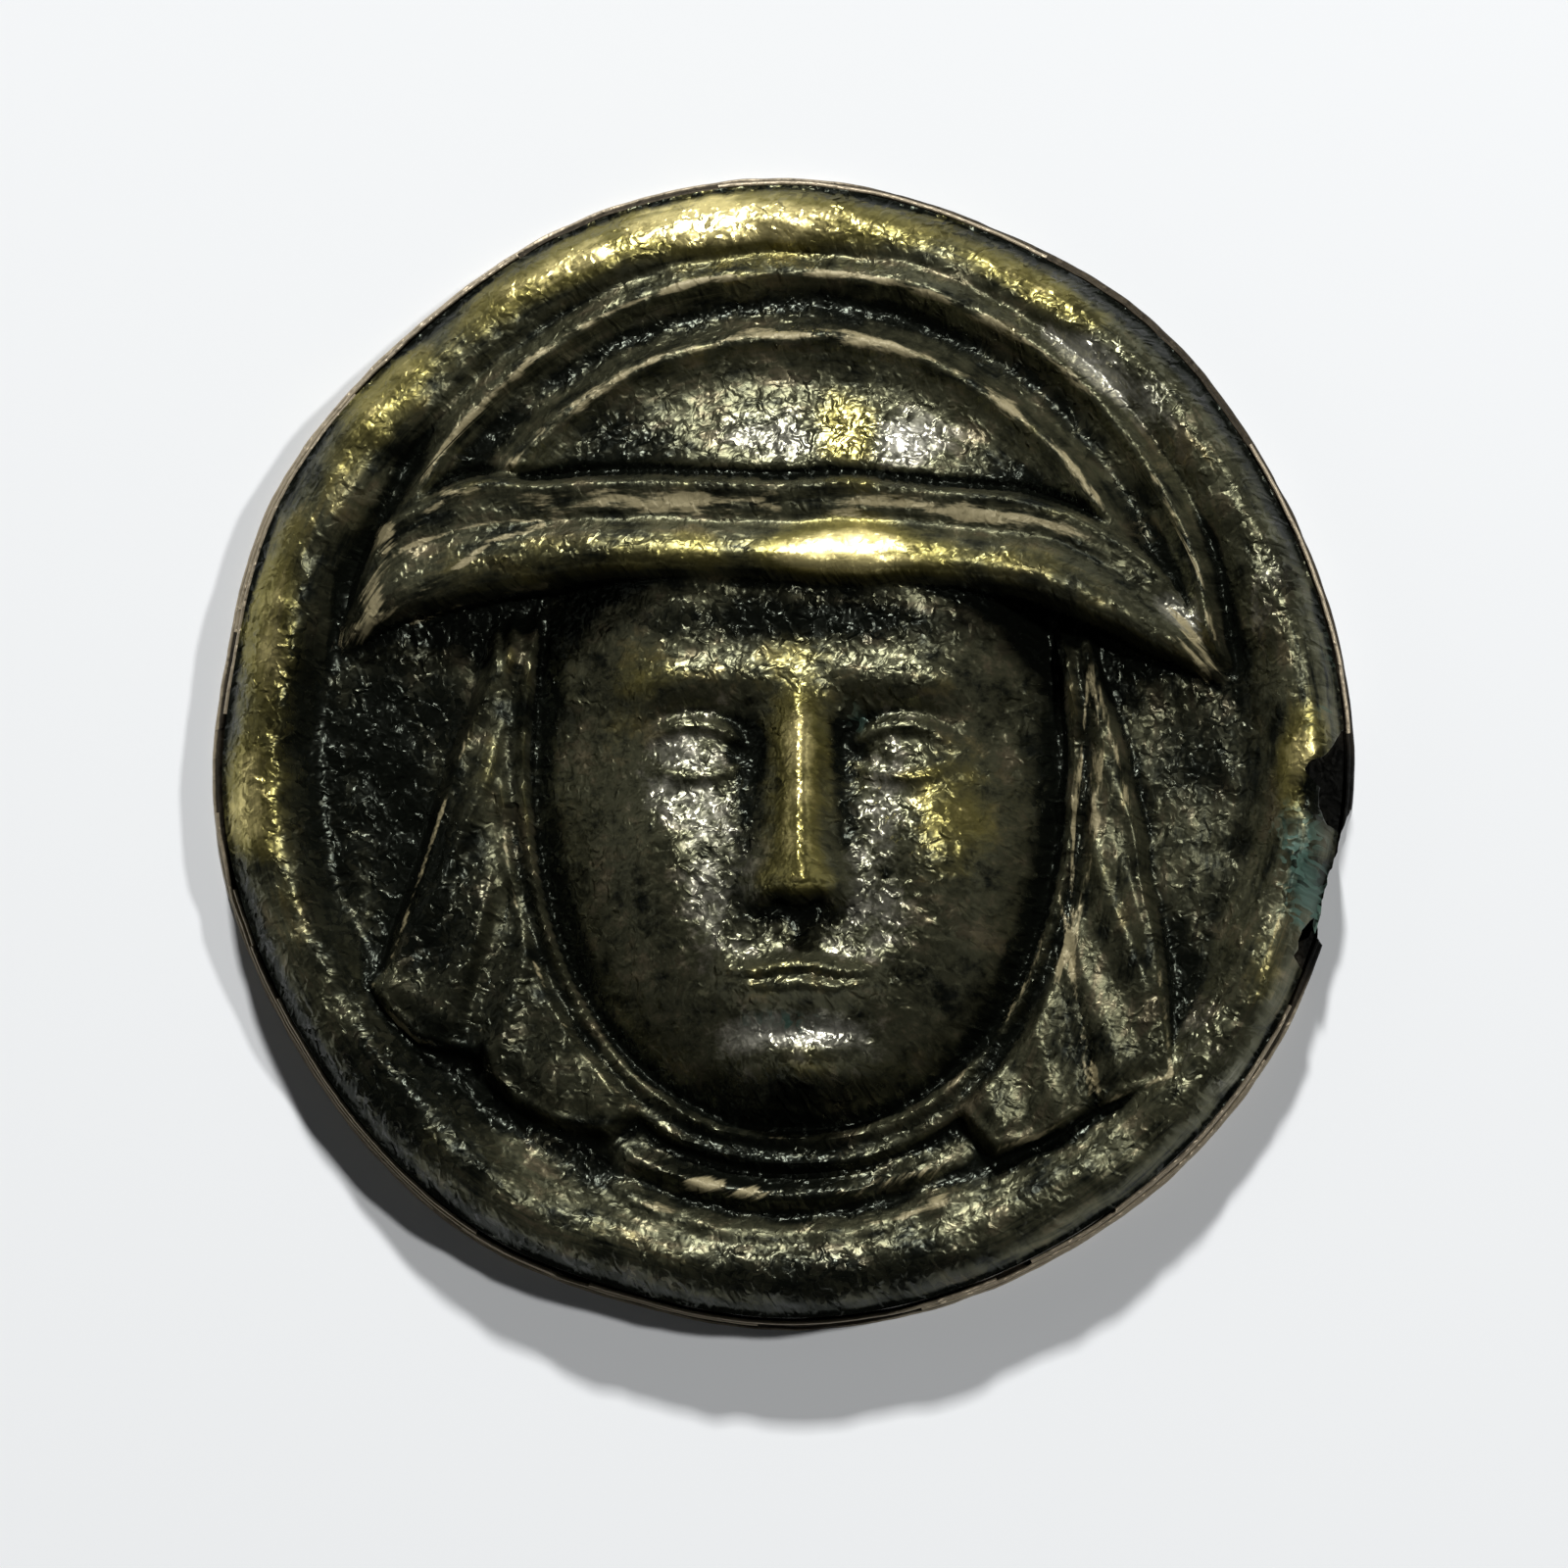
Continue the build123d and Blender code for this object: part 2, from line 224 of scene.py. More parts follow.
@dataclass
class Relief:
    """Sizes of the embossed front, and its height at any place of the plan."""

    mean_radius: float = 22.5
    lip_width: float = 0.52
    field_height: float = 3.0
    # angle in degrees, radius
    outline: Table = (
        (0, 22.50),
        (30, 22.20),
        (50, 22.46),
        (67, 22.34),
        (89, 22.70),
        (106, 22.62),
        (132, 22.20),
        (155, 22.50),
        (171, 22.26),
        (184, 22.52),
        (210, 22.40),
        (242, 22.68),
        (252, 22.50),
        (270, 22.70),
        (300, 22.60),
        (330, 22.64),
        (345, 22.50),
        (360, 22.50),
    )
    roll_crest_radius: float = 20.1
    roll_foot_radius: float = 17.9
    roll_rise: float = 1.35
    wall_drop: float = 0.25
    cap_center: Row = (0.3, 2.1)
    # ring radius, rise
    cap: Table = (
        (17.45, 0.0),
        (17.05, 0.8),
        (16.60, 1.5),
        (16.05, 1.1),
        (15.35, 0.85),
        (14.75, 1.3),
        (14.15, 2.15),
        (13.50, 1.8),
        (12.75, 1.55),
        (11.00, 2.1),
        (8.80, 2.9),
        (5.00, 2.9),
    )
    # x, upper edge, lower edge, rise
    brim: Table = (
        (-17.2, 4.90, 4.00, 0.6),
        (-15.7, 8.70, 4.80, 1.7),
        (-13.4, 10.30, 5.60, 2.7),
        (-9.0, 10.75, 6.35, 4.0),
        (-1.4, 10.75, 6.25, 4.9),
        (5.8, 10.44, 6.20, 4.8),
        (11.6, 9.30, 5.20, 3.6),
        (14.7, 7.20, 3.80, 2.3),
        (17.3, 3.60, 2.50, 0.8),
    )
    brim_band_share: float = 0.80
    brim_band_end: float = 0.42
    brim_crest: float = 0.75
    brim_crack: float = 0.4
    brim_crack_width: float = 0.18
    head_center_x: float = 0.62
    head_half_width: float = 10.2
    head_height: float = 28.9
    chin_y: float = -14.68
    face_rise: float = 3.6
    nose_rise: float = 2.5
    lip_rise: float = 0.75
    lid_top: float = 0.92
    lid_bottom: float = -0.72
    lid_rise: float = 0.34
    band_inner: float = 0.5
    band_outer: float = 1.5
    band_edge: float = 0.26
    band_rise: float = 0.9
    left_panels: tuple[Table, ...] = (
        (
            (-11.2, 4.6),
            (-12.1, 1.7),
            (-15.6, -8.6),
            (-16.3, -9.2),
            (-15.6, -10.3),
            (-14.3, -11.5),
            (-11.9, -11.9),
            (-10.6, -6.0),
            (-10.3, 1.0),
        ),
        (
            (-10.9, -6.5),
            (-12.0, -11.3),
            (-11.5, -12.7),
            (-10.4, -13.8),
            (-9.0, -14.5),
            (-6.9, -15.2),
            (-5.2, -13.6),
            (-8.0, -8.0),
            (-9.9, -2.0),
        ),
    )
    right_panels: tuple[Table, ...] = (
        (
            (11.9, 4.0),
            (12.7, 1.7),
            (13.9, -3.0),
            (15.1, -10.2),
            (15.3, -12.8),
            (12.3, -14.0),
            (11.2, -9.0),
            (11.2, -3.0),
        ),
        (
            (10.9, -5.0),
            (11.6, -10.0),
            (12.2, -14.0),
            (10.1, -15.2),
            (8.2, -15.8),
            (6.6, -14.0),
            (9.4, -9.0),
        ),
    )
    panel_rise: float = 0.95
    panel_crown: float = 0.4
    fold_rise: float = 0.2
    fold_spacing: float = 1.55
    panel_edge: float = 0.35
    neckline_center: Row = (0.3, -3.4)
    # ridge radius, rise
    neckline: Table = ((14.0, 0.7), (15.4, 0.55))
    neckline_half_angle: float = 27
    neckline_half_width: float = 0.45
    wander: float = 0.17
    wander_across: Unevenness = Unevenness(seed=31, spacing=2.4, octaves=2)
    wander_upward: Unevenness = Unevenness(seed=47, spacing=2.4, octaves=2)
    beating: Unevenness = Unevenness(seed=11, spacing=4.0)
    dents: Unevenness = Unevenness(seed=59, spacing=1.9, octaves=2)
    crumple: Unevenness = Unevenness(seed=23, spacing=0.9, octaves=3)
    beating_rise: float = 0.14
    dent_rise: float = 0.06
    rim_dent_rise: float = 0.2
    crumple_rise: float = 0.07
    face_calm: float = 0.8

    @property
    def wall_radius(self) -> float:
        """Radius of the wall on a round plan."""
        return self.mean_radius - self.lip_width

    @property
    def eye_y(self) -> float:
        """The eyes lie half way down the head."""
        return self.chin_y + self.head_height / 2

    @property
    def face_third(self) -> float:
        """Brow to nose base, and nose base to chin."""
        return self.head_height * 0.3

    @property
    def nose_base_y(self) -> float:
        """A third up from the chin."""
        return self.chin_y + self.face_third

    @property
    def brow_y(self) -> float:
        """Two thirds up from the chin."""
        return self.nose_base_y + self.face_third

    @property
    def mouth_y(self) -> float:
        """A third down from the nose to the chin."""
        return self.nose_base_y - self.face_third / 3

    @property
    def eye_width(self) -> float:
        """The head is five eyes wide."""
        return self.head_half_width * 2 / 5

    @property
    def mounds(self) -> tuple[tuple[str, float, float, float, float, float], ...]:
        """Soft mounds and hollows of the face, the same on both sides.

        Returns:
            Name, distance from the middle line, place upward, reach across, reach upward and rise.
        """
        eye, nose_y, mouth_y = self.eye_width, self.nose_base_y, self.mouth_y
        return (
            ("inner brow", eye * 0.6, self.brow_y + 0.15, 1.9, 0.8, 0.42),
            ("outer brow", eye * 1.35, self.brow_y - 0.1, 2.0, 0.85, 0.5),
            ("temple", eye * 2, self.eye_y + 1.0, 1.6, 3.0, -0.35),
            ("socket", eye, self.eye_y + 0.1, 2.8, 1.9, -1.3),
            ("inner corner", eye * 0.5, self.eye_y + 0.2, 0.7, 1.1, -0.35),
            ("eyeball", eye, self.eye_y, 1.9, 1.35, 1.25),
            ("cheek", eye * 1.4, nose_y + 2.2, 2.7, 3.0, 0.75),
            ("jaw", eye * 1.5, mouth_y, 2.4, 3.0, 0.35),
            ("muzzle", 0.0, mouth_y, 3.6, 2.6, 0.5),
            ("nose tip", 0.0, nose_y + 1.2, 1.3, 1.3, 0.3),
            ("nose wing", eye * 0.34, nose_y + 0.75, 0.7, 0.75, 0.62),
            ("nostril", eye * 0.18, nose_y + 0.1, 0.34, 0.32, -0.55),
            ("groove", 0.0, mouth_y + 1.75, 0.42, 0.75, -0.2),
            ("lip corner", eye * 0.87, mouth_y, 0.45, 0.5, -0.28),
            ("under lip", 0.0, mouth_y - 2.15, 2.2, 0.65, -0.5),
            ("chin", 0.0, self.chin_y + 2.6, 2.4, 1.4, 1.35),
        )

    def outline_radius(self, angle: np.ndarray) -> np.ndarray:
        """Outer radius of the flange at each turn from +X in radians."""
        return read_curve(self.outline, 1, np.degrees(angle) % 360.0)

    def round_radius(self, x: np.ndarray, y: np.ndarray) -> np.ndarray:
        """Radius of a place as if the outline were round."""
        return np.hypot(x, y) * self.mean_radius / self.outline_radius(np.arctan2(y, x))

    def rim(self, radius: np.ndarray) -> np.ndarray:
        """The rolled rim.

        Args:
            radius: Radius on a round plan.

        Returns:
            Its rise over the field.
        """
        reach = self.wall_radius - self.roll_crest_radius
        share = np.clip((radius - self.roll_crest_radius) / reach, 0.0, 1.2)
        outer = self.roll_rise - (self.roll_rise + self.wall_drop) * share**2.4
        inner = self.roll_rise * ease(self.roll_foot_radius, self.roll_crest_radius, radius)
        return np.where(radius > self.roll_crest_radius, outer, inner)

    def cap_rings(self, x: np.ndarray, y: np.ndarray) -> np.ndarray:
        """The cap's rings above the brim.

        Args:
            x: Places across.
            y: Places upward.

        Returns:
            Their rise over the field.
        """
        ring = np.hypot(x - self.cap_center[0], y - self.cap_center[1])
        over = y - read_curve(self.brim, 1, x)
        crack = self.brim_crack * bell(over - 0.08, self.brim_crack_width) * ease(16.0, 11.0, np.abs(x))
        rings = np.where(ring < self.cap[0][0], read_curve(self.cap, 1, ring), 0.0)
        return ease(-0.7, -0.1, over) * np.maximum(rings - crack * (ring < self.cap[2][0]), 0.0)

    def brim_roll(self, x: np.ndarray, y: np.ndarray) -> np.ndarray:
        """The brim's flat upper band and its heavy roll.

        Args:
            x: Places across.
            y: Places upward.

        Returns:
            Their rise over the field.
        """
        upper, lower, rise = (read_curve(self.brim, column, x) for column in (1, 2, 3))
        across = (upper - y) / np.maximum(upper - lower, 0.4)
        first, last = self.brim[0][0], self.brim[-1][0]
        ends = ease(first - 0.3, first + 0.8, x) * ease(last + 0.3, last - 0.8, x)
        flat = self.brim_band_share - 0.04 * bell(across - self.brim_band_end, 0.075)
        band = flat * ease(-0.04, 0.08, across) + 0.04 * bell(across - 0.12, 0.07)
        swell = np.clip((across - self.brim_band_end) / (self.brim_crest - self.brim_band_end), 0.0, 1.0)
        upper_side = (1 - self.brim_band_share) * (1 - (1 - swell) ** 1.45)
        fall = np.clip((across - self.brim_crest) / (1.03 - self.brim_crest), 0.0, 1.0)
        lower_side = np.sqrt(np.clip(1 - fall**2.6, 0.0, 1.0))
        return rise * ends * np.where(across < self.brim_crest, band + upper_side, lower_side)

    def head_distance(self, x: np.ndarray, y: np.ndarray) -> np.ndarray:
        """How far outside the oval head a place lies.

        Args:
            x: Places across.
            y: Places upward.

        Returns:
            The distance, negative inside.
        """
        across = (x - self.head_center_x) / self.head_half_width
        upward = (y - self.eye_y) / (self.head_height / 2)
        size = (np.abs(across) ** 2.2 + np.abs(upward) ** 2.2) ** (1 / 2.2)
        scale = np.hypot(x - self.head_center_x, y - self.eye_y) / np.maximum(size, 1e-6)
        return (size - 1) * scale

    def face(self, x: np.ndarray, y: np.ndarray) -> np.ndarray:
        """A calm, even face on common proportions.

        Args:
            x: Places across.
            y: Places upward.

        Returns:
            Its rise over the field.
        """
        apart = np.abs(x - self.head_center_x)
        outside = self.head_distance(x, y)
        whole = ease(0.15, -6.0, outside) ** 0.55 * self.face_rise
        for _, across, upward, reach_across, reach_upward, rise in self.mounds:
            whole = whole + rise * bell(apart - across, reach_across) * bell(y - upward, reach_upward)
        whole = whole + self.lids(apart, y) + self.nose_ridge(apart, y) + self.lips(apart, y)
        return np.where(outside > 1.0, 0.0, whole) * ease(9.5, 7.0, y)

    def lids(self, apart: np.ndarray, y: np.ndarray) -> np.ndarray:
        """Almond lids round each eye.

        Args:
            apart: Distance from the face's middle line.
            y: Places upward.

        Returns:
            Their rise over the face.
        """
        up = y - self.eye_y
        almond = np.clip(1 - ((apart - self.eye_width) / (self.eye_width * 0.56)) ** 2, 0.0, 1.0)
        top, bottom = self.lid_top * almond, self.lid_bottom * almond
        opened = ease(top + 0.12, top - 0.12, up) * ease(bottom - 0.12, bottom + 0.12, up)
        upper = self.lid_rise * bell(up - top - 0.2, 0.3) - 0.2 * bell(up - top - 0.8, 0.26)
        lower = 0.7 * self.lid_rise * bell(up - bottom + 0.18, 0.26)
        return almond**0.7 * (upper + lower - 0.16 * opened)

    def nose_ridge(self, apart: np.ndarray, y: np.ndarray) -> np.ndarray:
        """A straight nose that widens to its base.

        Args:
            apart: Distance from the face's middle line.
            y: Places upward.

        Returns:
            Its rise over the face.
        """
        run = np.clip((self.brow_y - y) / (self.brow_y - self.nose_base_y), 0.0, 1.0)
        length = ease(self.brow_y + 1.8, self.brow_y - 1.6, y) * ease(-0.35, 0.7, y - self.nose_base_y)
        grown = np.sin(run * math.pi / 2)
        return self.nose_rise * (0.3 + 0.7 * grown) * bell(apart, 0.95 + 0.45 * run**2) * length

    def lips(self, apart: np.ndarray, y: np.ndarray) -> np.ndarray:
        """Closed even lips.

        Args:
            apart: Distance from the face's middle line.
            y: Places upward.

        Returns:
            Their rise over the face.
        """
        place = apart / (self.eye_width * 0.84)
        share = np.clip(1 - place**2, 0.0, 1.0)
        seam = y - self.mouth_y - 0.14 * bell(place, 0.28) + 0.1 * bell(place - 0.5, 0.3)
        bow = 1 - 0.22 * bell(place, 0.16)
        upper = self.lip_rise * bell(seam - 0.42 * share * bow, 0.45) * share**0.7
        lower = 1.1 * self.lip_rise * bell(seam + 0.5 * share, 0.6) * share**0.7
        return upper + lower - 0.42 * bell(seam, 0.13) * ease(1.05, 0.8, place)

    def panel(self, corners: Table, x: np.ndarray, y: np.ndarray) -> np.ndarray:
        """A hanging side panel with soft upright folds.

        Args:
            corners: The panel's corners in turn.
            x: Places across.
            y: Places upward.

        Returns:
            Its rise over the field.
        """
        depth = depth_inside(corners, x, y)
        raised = ease(-self.panel_edge, self.panel_edge, depth)
        hem = 0.25 * bell(depth - 0.2, 0.17)
        raised = raised * ease(self.band_outer - 0.4, self.band_outer, self.head_distance(x, y))
        fan = np.arctan2(x - self.head_center_x, 24.0 - y) * 24.0
        folds = self.fold_rise * (1 - 2 * np.abs(np.sin(np.pi * fan / self.fold_spacing)) ** 1.4)
        crown = self.panel_crown * ease(0.0, 1.3, depth)
        return raised * (self.panel_rise + crown + hem + folds * ease(-0.1, 0.5, depth))

    def face_band(self, x: np.ndarray, y: np.ndarray) -> np.ndarray:
        """The narrow band that frames the face.

        Args:
            x: Places across.
            y: Places upward.

        Returns:
            Its rise over the field.
        """
        outside = self.head_distance(x, y)
        inner, outer = self.band_inner, self.band_outer
        flat = ease(inner - 0.3, inner, outside) * ease(outer + 0.3, outer, outside)
        edges = bell(outside - inner, self.band_edge) + 0.7 * bell(outside - outer, self.band_edge)
        low = (0.55 + 0.45 * ease(-13.0, -4.0, y)) * (1 + 0.4 * self.dents.at(x, y))
        return low * (self.band_rise * flat + 0.5 * edges) * ease(5.5, 3.5, y)

    def neckline_ridges(self, x: np.ndarray, y: np.ndarray) -> np.ndarray:
        """Two low ridges under the chin.

        Args:
            x: Places across.
            y: Places upward.

        Returns:
            Their rise over the field.
        """
        dx, dy = x - self.neckline_center[0], self.neckline_center[1] - y
        turned = np.abs(np.degrees(np.arctan2(dx, dy)))
        fade = ease(self.neckline_half_angle + 6, self.neckline_half_angle - 6, turned)
        fade = fade * (1 + 0.6 * self.dents.at(x, y))
        away, width = np.hypot(dx, dy), self.neckline_half_width
        return fade * sum(rise * bell(away - radius, width) for radius, rise in self.neckline)

    def height(self, x: np.ndarray, y: np.ndarray) -> np.ndarray:
        """Height of the embossed front.

        Args:
            x: Places across.
            y: Places upward.

        Returns:
            The height over the resting plane.
        """
        calm = ease(1.5, -0.5, self.head_distance(x, y)) * ease(6.0, 4.0, y)
        stray = self.wander * (1 - calm)
        wide, tall = x, y
        x, y = x + stray * self.wander_across.at(wide, tall), y + stray * self.wander_upward.at(wide, tall)
        ground = self.rim(self.round_radius(wide, tall)) + self.neckline_ridges(x, y)
        dress = self.face_band(x, y)
        for corners in (*self.left_panels, *self.right_panels):
            dress = np.maximum(dress, self.panel(corners, x, y))
        figure = np.maximum(np.maximum(dress, self.face(x, y)), self.brim_roll(x, y))
        smooth = self.field_height + np.maximum(ground + self.cap_rings(x, y), figure)
        beaten = self.beating.at(wide, tall) * self.beating_rise
        on_rim = ease(self.roll_foot_radius - 0.6, self.roll_foot_radius + 0.8, np.hypot(wide, tall))
        on_rim = np.maximum(on_rim, 0.7 * ease(12.5, 15.0, np.abs(wide)))
        dented = self.dents.at(wide, tall) * (self.dent_rise + self.rim_dent_rise * on_rim)
        uneven = (beaten + dented) * (1 - self.face_calm * calm)
        return smooth + uneven + self.crumple.at(wide, tall) * self.crumple_rise


# Finishes


class Finish(Enum):
    """Material slots of the record."""

    FRONT = "front_gilt"
    BACK = "back_bronze"
    TABLE = "table"


class Wires:
    """Adds and joins shader nodes in one tree."""

    # how far the plan shifts across and upward for each unit of height
    slant_across: float = 0.35
    slant_upward: float = -0.25

    def __init__(self, tree: bpy.types.NodeTree) -> None:
        """Keeps the node tree of a material or a group."""
        self.tree = tree

    def node(self, kind: str, **settings: object) -> bpy.types.Node:
        """Adds a node.

        Args:
            kind: Node type.
            settings: Properties to set on it.

        Returns:
            The new node.
        """
        made = self.tree.nodes.new(kind)
        for name, value in settings.items():
            setattr(made, name, value)
        return made

    def put(self, socket: bpy.types.NodeSocket, value: object) -> None:
        """Joins an output to a socket, or sets the socket's own value.

        Args:
            socket: Input to feed.
            value: An output socket or a plain value.
        """
        if isinstance(value, bpy.types.NodeSocket):
            self.tree.links.new(value, socket)
        else:
            socket.default_value = value

    def feed(self, node: bpy.types.Node, values: dict[str | int, object]) -> bpy.types.Node:
        """Feeds several inputs of a node.

        Args:
            node: The node.
            values: A socket or a plain value for each input, by name or number.

        Returns:
            The same node.
        """
        for name, value in values.items():
            self.put(node.inputs[name], value)
        return node

    def math(self, operation: str, *values: object, clamp: bool = False) -> bpy.types.NodeSocket:
        """Result of a Math node with these inputs, kept from 0 to 1 if clamped."""
        made = self.node("ShaderNodeMath", operation=operation, use_clamp=clamp)
        return self.feed(made, dict(enumerate(values))).outputs[0]

    def vector(self, operation: str, values: dict[str | int, object]) -> bpy.types.Node:
        """Adds a Vector Math node, with its inputs by name or number."""
        return self.feed(self.node("ShaderNodeVectorMath", operation=operation), values)

    def mix(self, share: object, first: object, second: object) -> bpy.types.NodeSocket:
        """Mixes two colours.

        Args:
            share: 0 for the first, 1 for the second.
            first: Socket or colour.
            second: Socket or colour.

        Returns:
            The mixed colour.
        """
        made = self.node("ShaderNodeMix", data_type="RGBA")
        self.put(made.inputs["Factor"], share)
        for name, value in (("A", first), ("B", second)):
            socket = next(s for s in made.inputs if s.name == name and s.type == "RGBA")
            self.put(socket, (*value, 1.0) if isinstance(value, tuple) else value)
        return next(s for s in made.outputs if s.type == "RGBA")

    def blend(self, share: object, first: object, second: object) -> bpy.types.NodeSocket:
        """Mixes two numbers.

        Args:
            share: 0 for the first, 1 for the second.
            first: Socket or number.
            second: Socket or number.

        Returns:
            The mixed number.
        """
        made = self.node("ShaderNodeMix", data_type="FLOAT")
        for socket, value in zip((s for s in made.inputs if s.type == "VALUE"), (share, first, second)):
            self.put(socket, value)
        return next(s for s in made.outputs if s.type == "VALUE")

    def plan(self, place: object) -> bpy.types.NodeSocket:
        """Plan coordinates, slanted so that they also run down an upright wall.

        Args:
            place: Coordinate socket.

        Returns:
            A vector with no height.
        """
        across, upward, height = self.feed(self.node("ShaderNodeSeparateXYZ"), {0: place}).outputs
        across = self.math("MULTIPLY_ADD", height, self.slant_across, across)
        upward = self.math("MULTIPLY_ADD", height, self.slant_upward, upward)
        return self.feed(self.node("ShaderNodeCombineXYZ"), {0: across, 1: upward}).outputs[0]

    def noise(
        self, place: object, scale: float, detail: float, roughness: float = 0.55, kind: str = "FBM"
    ) -> bpy.types.NodeSocket:
        """Adds a Noise Texture over the plan.

        Args:
            place: Coordinate socket.
            scale: Cells per metre.
            detail: Octaves.
            roughness: Weight of the finer octaves.
            kind: Way that the octaves are joined.

        Returns:
            Its value.
        """
        made = self.node("ShaderNodeTexNoise", noise_dimensions="2D", noise_type=kind)
        settings = {"Vector": place, "Scale": scale, "Detail": detail, "Roughness": roughness}
        return self.feed(made, settings).outputs["Fac"]

    def step(self, value: object, low: float, high: float) -> bpy.types.NodeSocket:
        """Smooth step of a value, 0 at low and 1 at high."""
        made = self.node("ShaderNodeMapRange", interpolation_type="SMOOTHSTEP")
        return self.feed(made, {"Value": value, "From Min": low, "From Max": high}).outputs["Result"]

    def attribute(self, name: str) -> bpy.types.NodeSocket:
        """Reads a painted attribute of the mesh."""
        return self.node("ShaderNodeAttribute", attribute_name=name).outputs["Fac"]

    def bump(self, shader: bpy.types.Node, height: object) -> None:
        """Leans a shader's normal by a height in metres."""
        made = self.feed(self.node("ShaderNodeBump"), {"Strength": 1.0, "Distance": 1.0, "Height": height})
        self.put(shader.inputs["Normal"], made.outputs["Normal"])


def new_material(finish: Finish) -> tuple[bpy.types.Material, Wires, bpy.types.Node]:
    """Starts a material.

    Args:
        finish: The slot that it fills.

    Returns:
        The material, its builder and its shader.
    """
    material = bpy.data.materials.new(finish.value)
    material.use_nodes = True
    return material, Wires(material.node_tree), material.node_tree.nodes["Principled BSDF"]


def new_group(
    name: str, inputs: dict[str, float], outputs: tuple[str, ...]
) -> tuple[bpy.types.NodeTree, Wires]:
    """Starts a shader node group.

    Args:
        name: Its name.
        inputs: Number inputs and their usual values. Place is added first.
        outputs: Names of its value outputs.

    Returns:
        The group's tree and its builder.
    """
    tree = bpy.data.node_groups.new(name, "ShaderNodeTree")
    tree.interface.new_socket("Place", in_out="INPUT", socket_type="NodeSocketVector")
    for label, value in inputs.items():
        tree.interface.new_socket(label, in_out="INPUT", socket_type="NodeSocketFloat").default_value = value
    for label in outputs:
        tree.interface.new_socket(label, in_out="OUTPUT", socket_type="NodeSocketFloat")
    return tree, Wires(tree)


@dataclass(frozen=True)
class CrystalGrain:
    """Creases and small flats of crumpled foil. Heights are in metres."""

    flat_cells: float = 4600.0
    flat_slope: float = 0.45
    crease_cells: float = 1900.0
    crease_height: float = 0.0001
    wander_cells: float = 1300.0
    wander: float = 0.0009

    def flats(self, wires: Wires, place: object) -> tuple[object, object]:
        """Flat cells, each leaning its own way.

        Args:
            wires: Builder of the group.
            place: Coordinate socket.

        Returns:
            The height in metres, and a random value per cell.
        """
        cell = wires.node("ShaderNodeTexVoronoi", feature="F1", voronoi_dimensions="2D")
        wires.feed(cell, {"Vector": place, "Scale": self.flat_cells})
        away = wires.vector("SUBTRACT", {0: place, 1: cell.outputs["Position"]})
        lean = wires.vector("SUBTRACT", {0: cell.outputs["Color"], 1: HALF})
        height = wires.vector("DOT_PRODUCT", {0: away.outputs[0], 1: lean.outputs[0]})
        parts = wires.feed(wires.node("ShaderNodeSeparateColor"), {0: cell.outputs["Color"]})
        return wires.math("MULTIPLY", height.outputs["Value"], self.flat_slope), parts.outputs[2]

    def build(self) -> bpy.types.NodeTree:
        """Builds the group.

        Returns:
            Its tree, with outputs Height, Speckle and Crease.
        """
        tree, wires = new_group("crystal_grain", {"Crumple": 1.0}, ("Height", "Speckle", "Crease"))
        inside = wires.node("NodeGroupInput")
        outside = wires.node("NodeGroupOutput")
        place, crumple = inside.outputs["Place"], inside.outputs["Crumple"]
        warp = wires.node("ShaderNodeTexNoise", noise_dimensions="2D")
        wires.feed(warp, {"Vector": place, "Scale": self.wander_cells, "Detail": 2.0})
        reach = (self.wander, self.wander, 0.0)
        bent = wires.vector("MULTIPLY_ADD", {0: warp.outputs["Color"], 1: reach, 2: place}).outputs[0]
        height, speckle = self.flats(wires, bent)
        crease = wires.noise(bent, self.crease_cells, 3.0, 0.62, "RIDGED_MULTIFRACTAL")
        height = wires.math("MULTIPLY_ADD", crease, self.crease_height, height)
        height = wires.math("MULTIPLY", height, crumple)
        creased = wires.step(crease, 0.72, 0.95)
        wires.feed(outside, {"Height": height, "Speckle": speckle, "Crease": creased})
        return tree


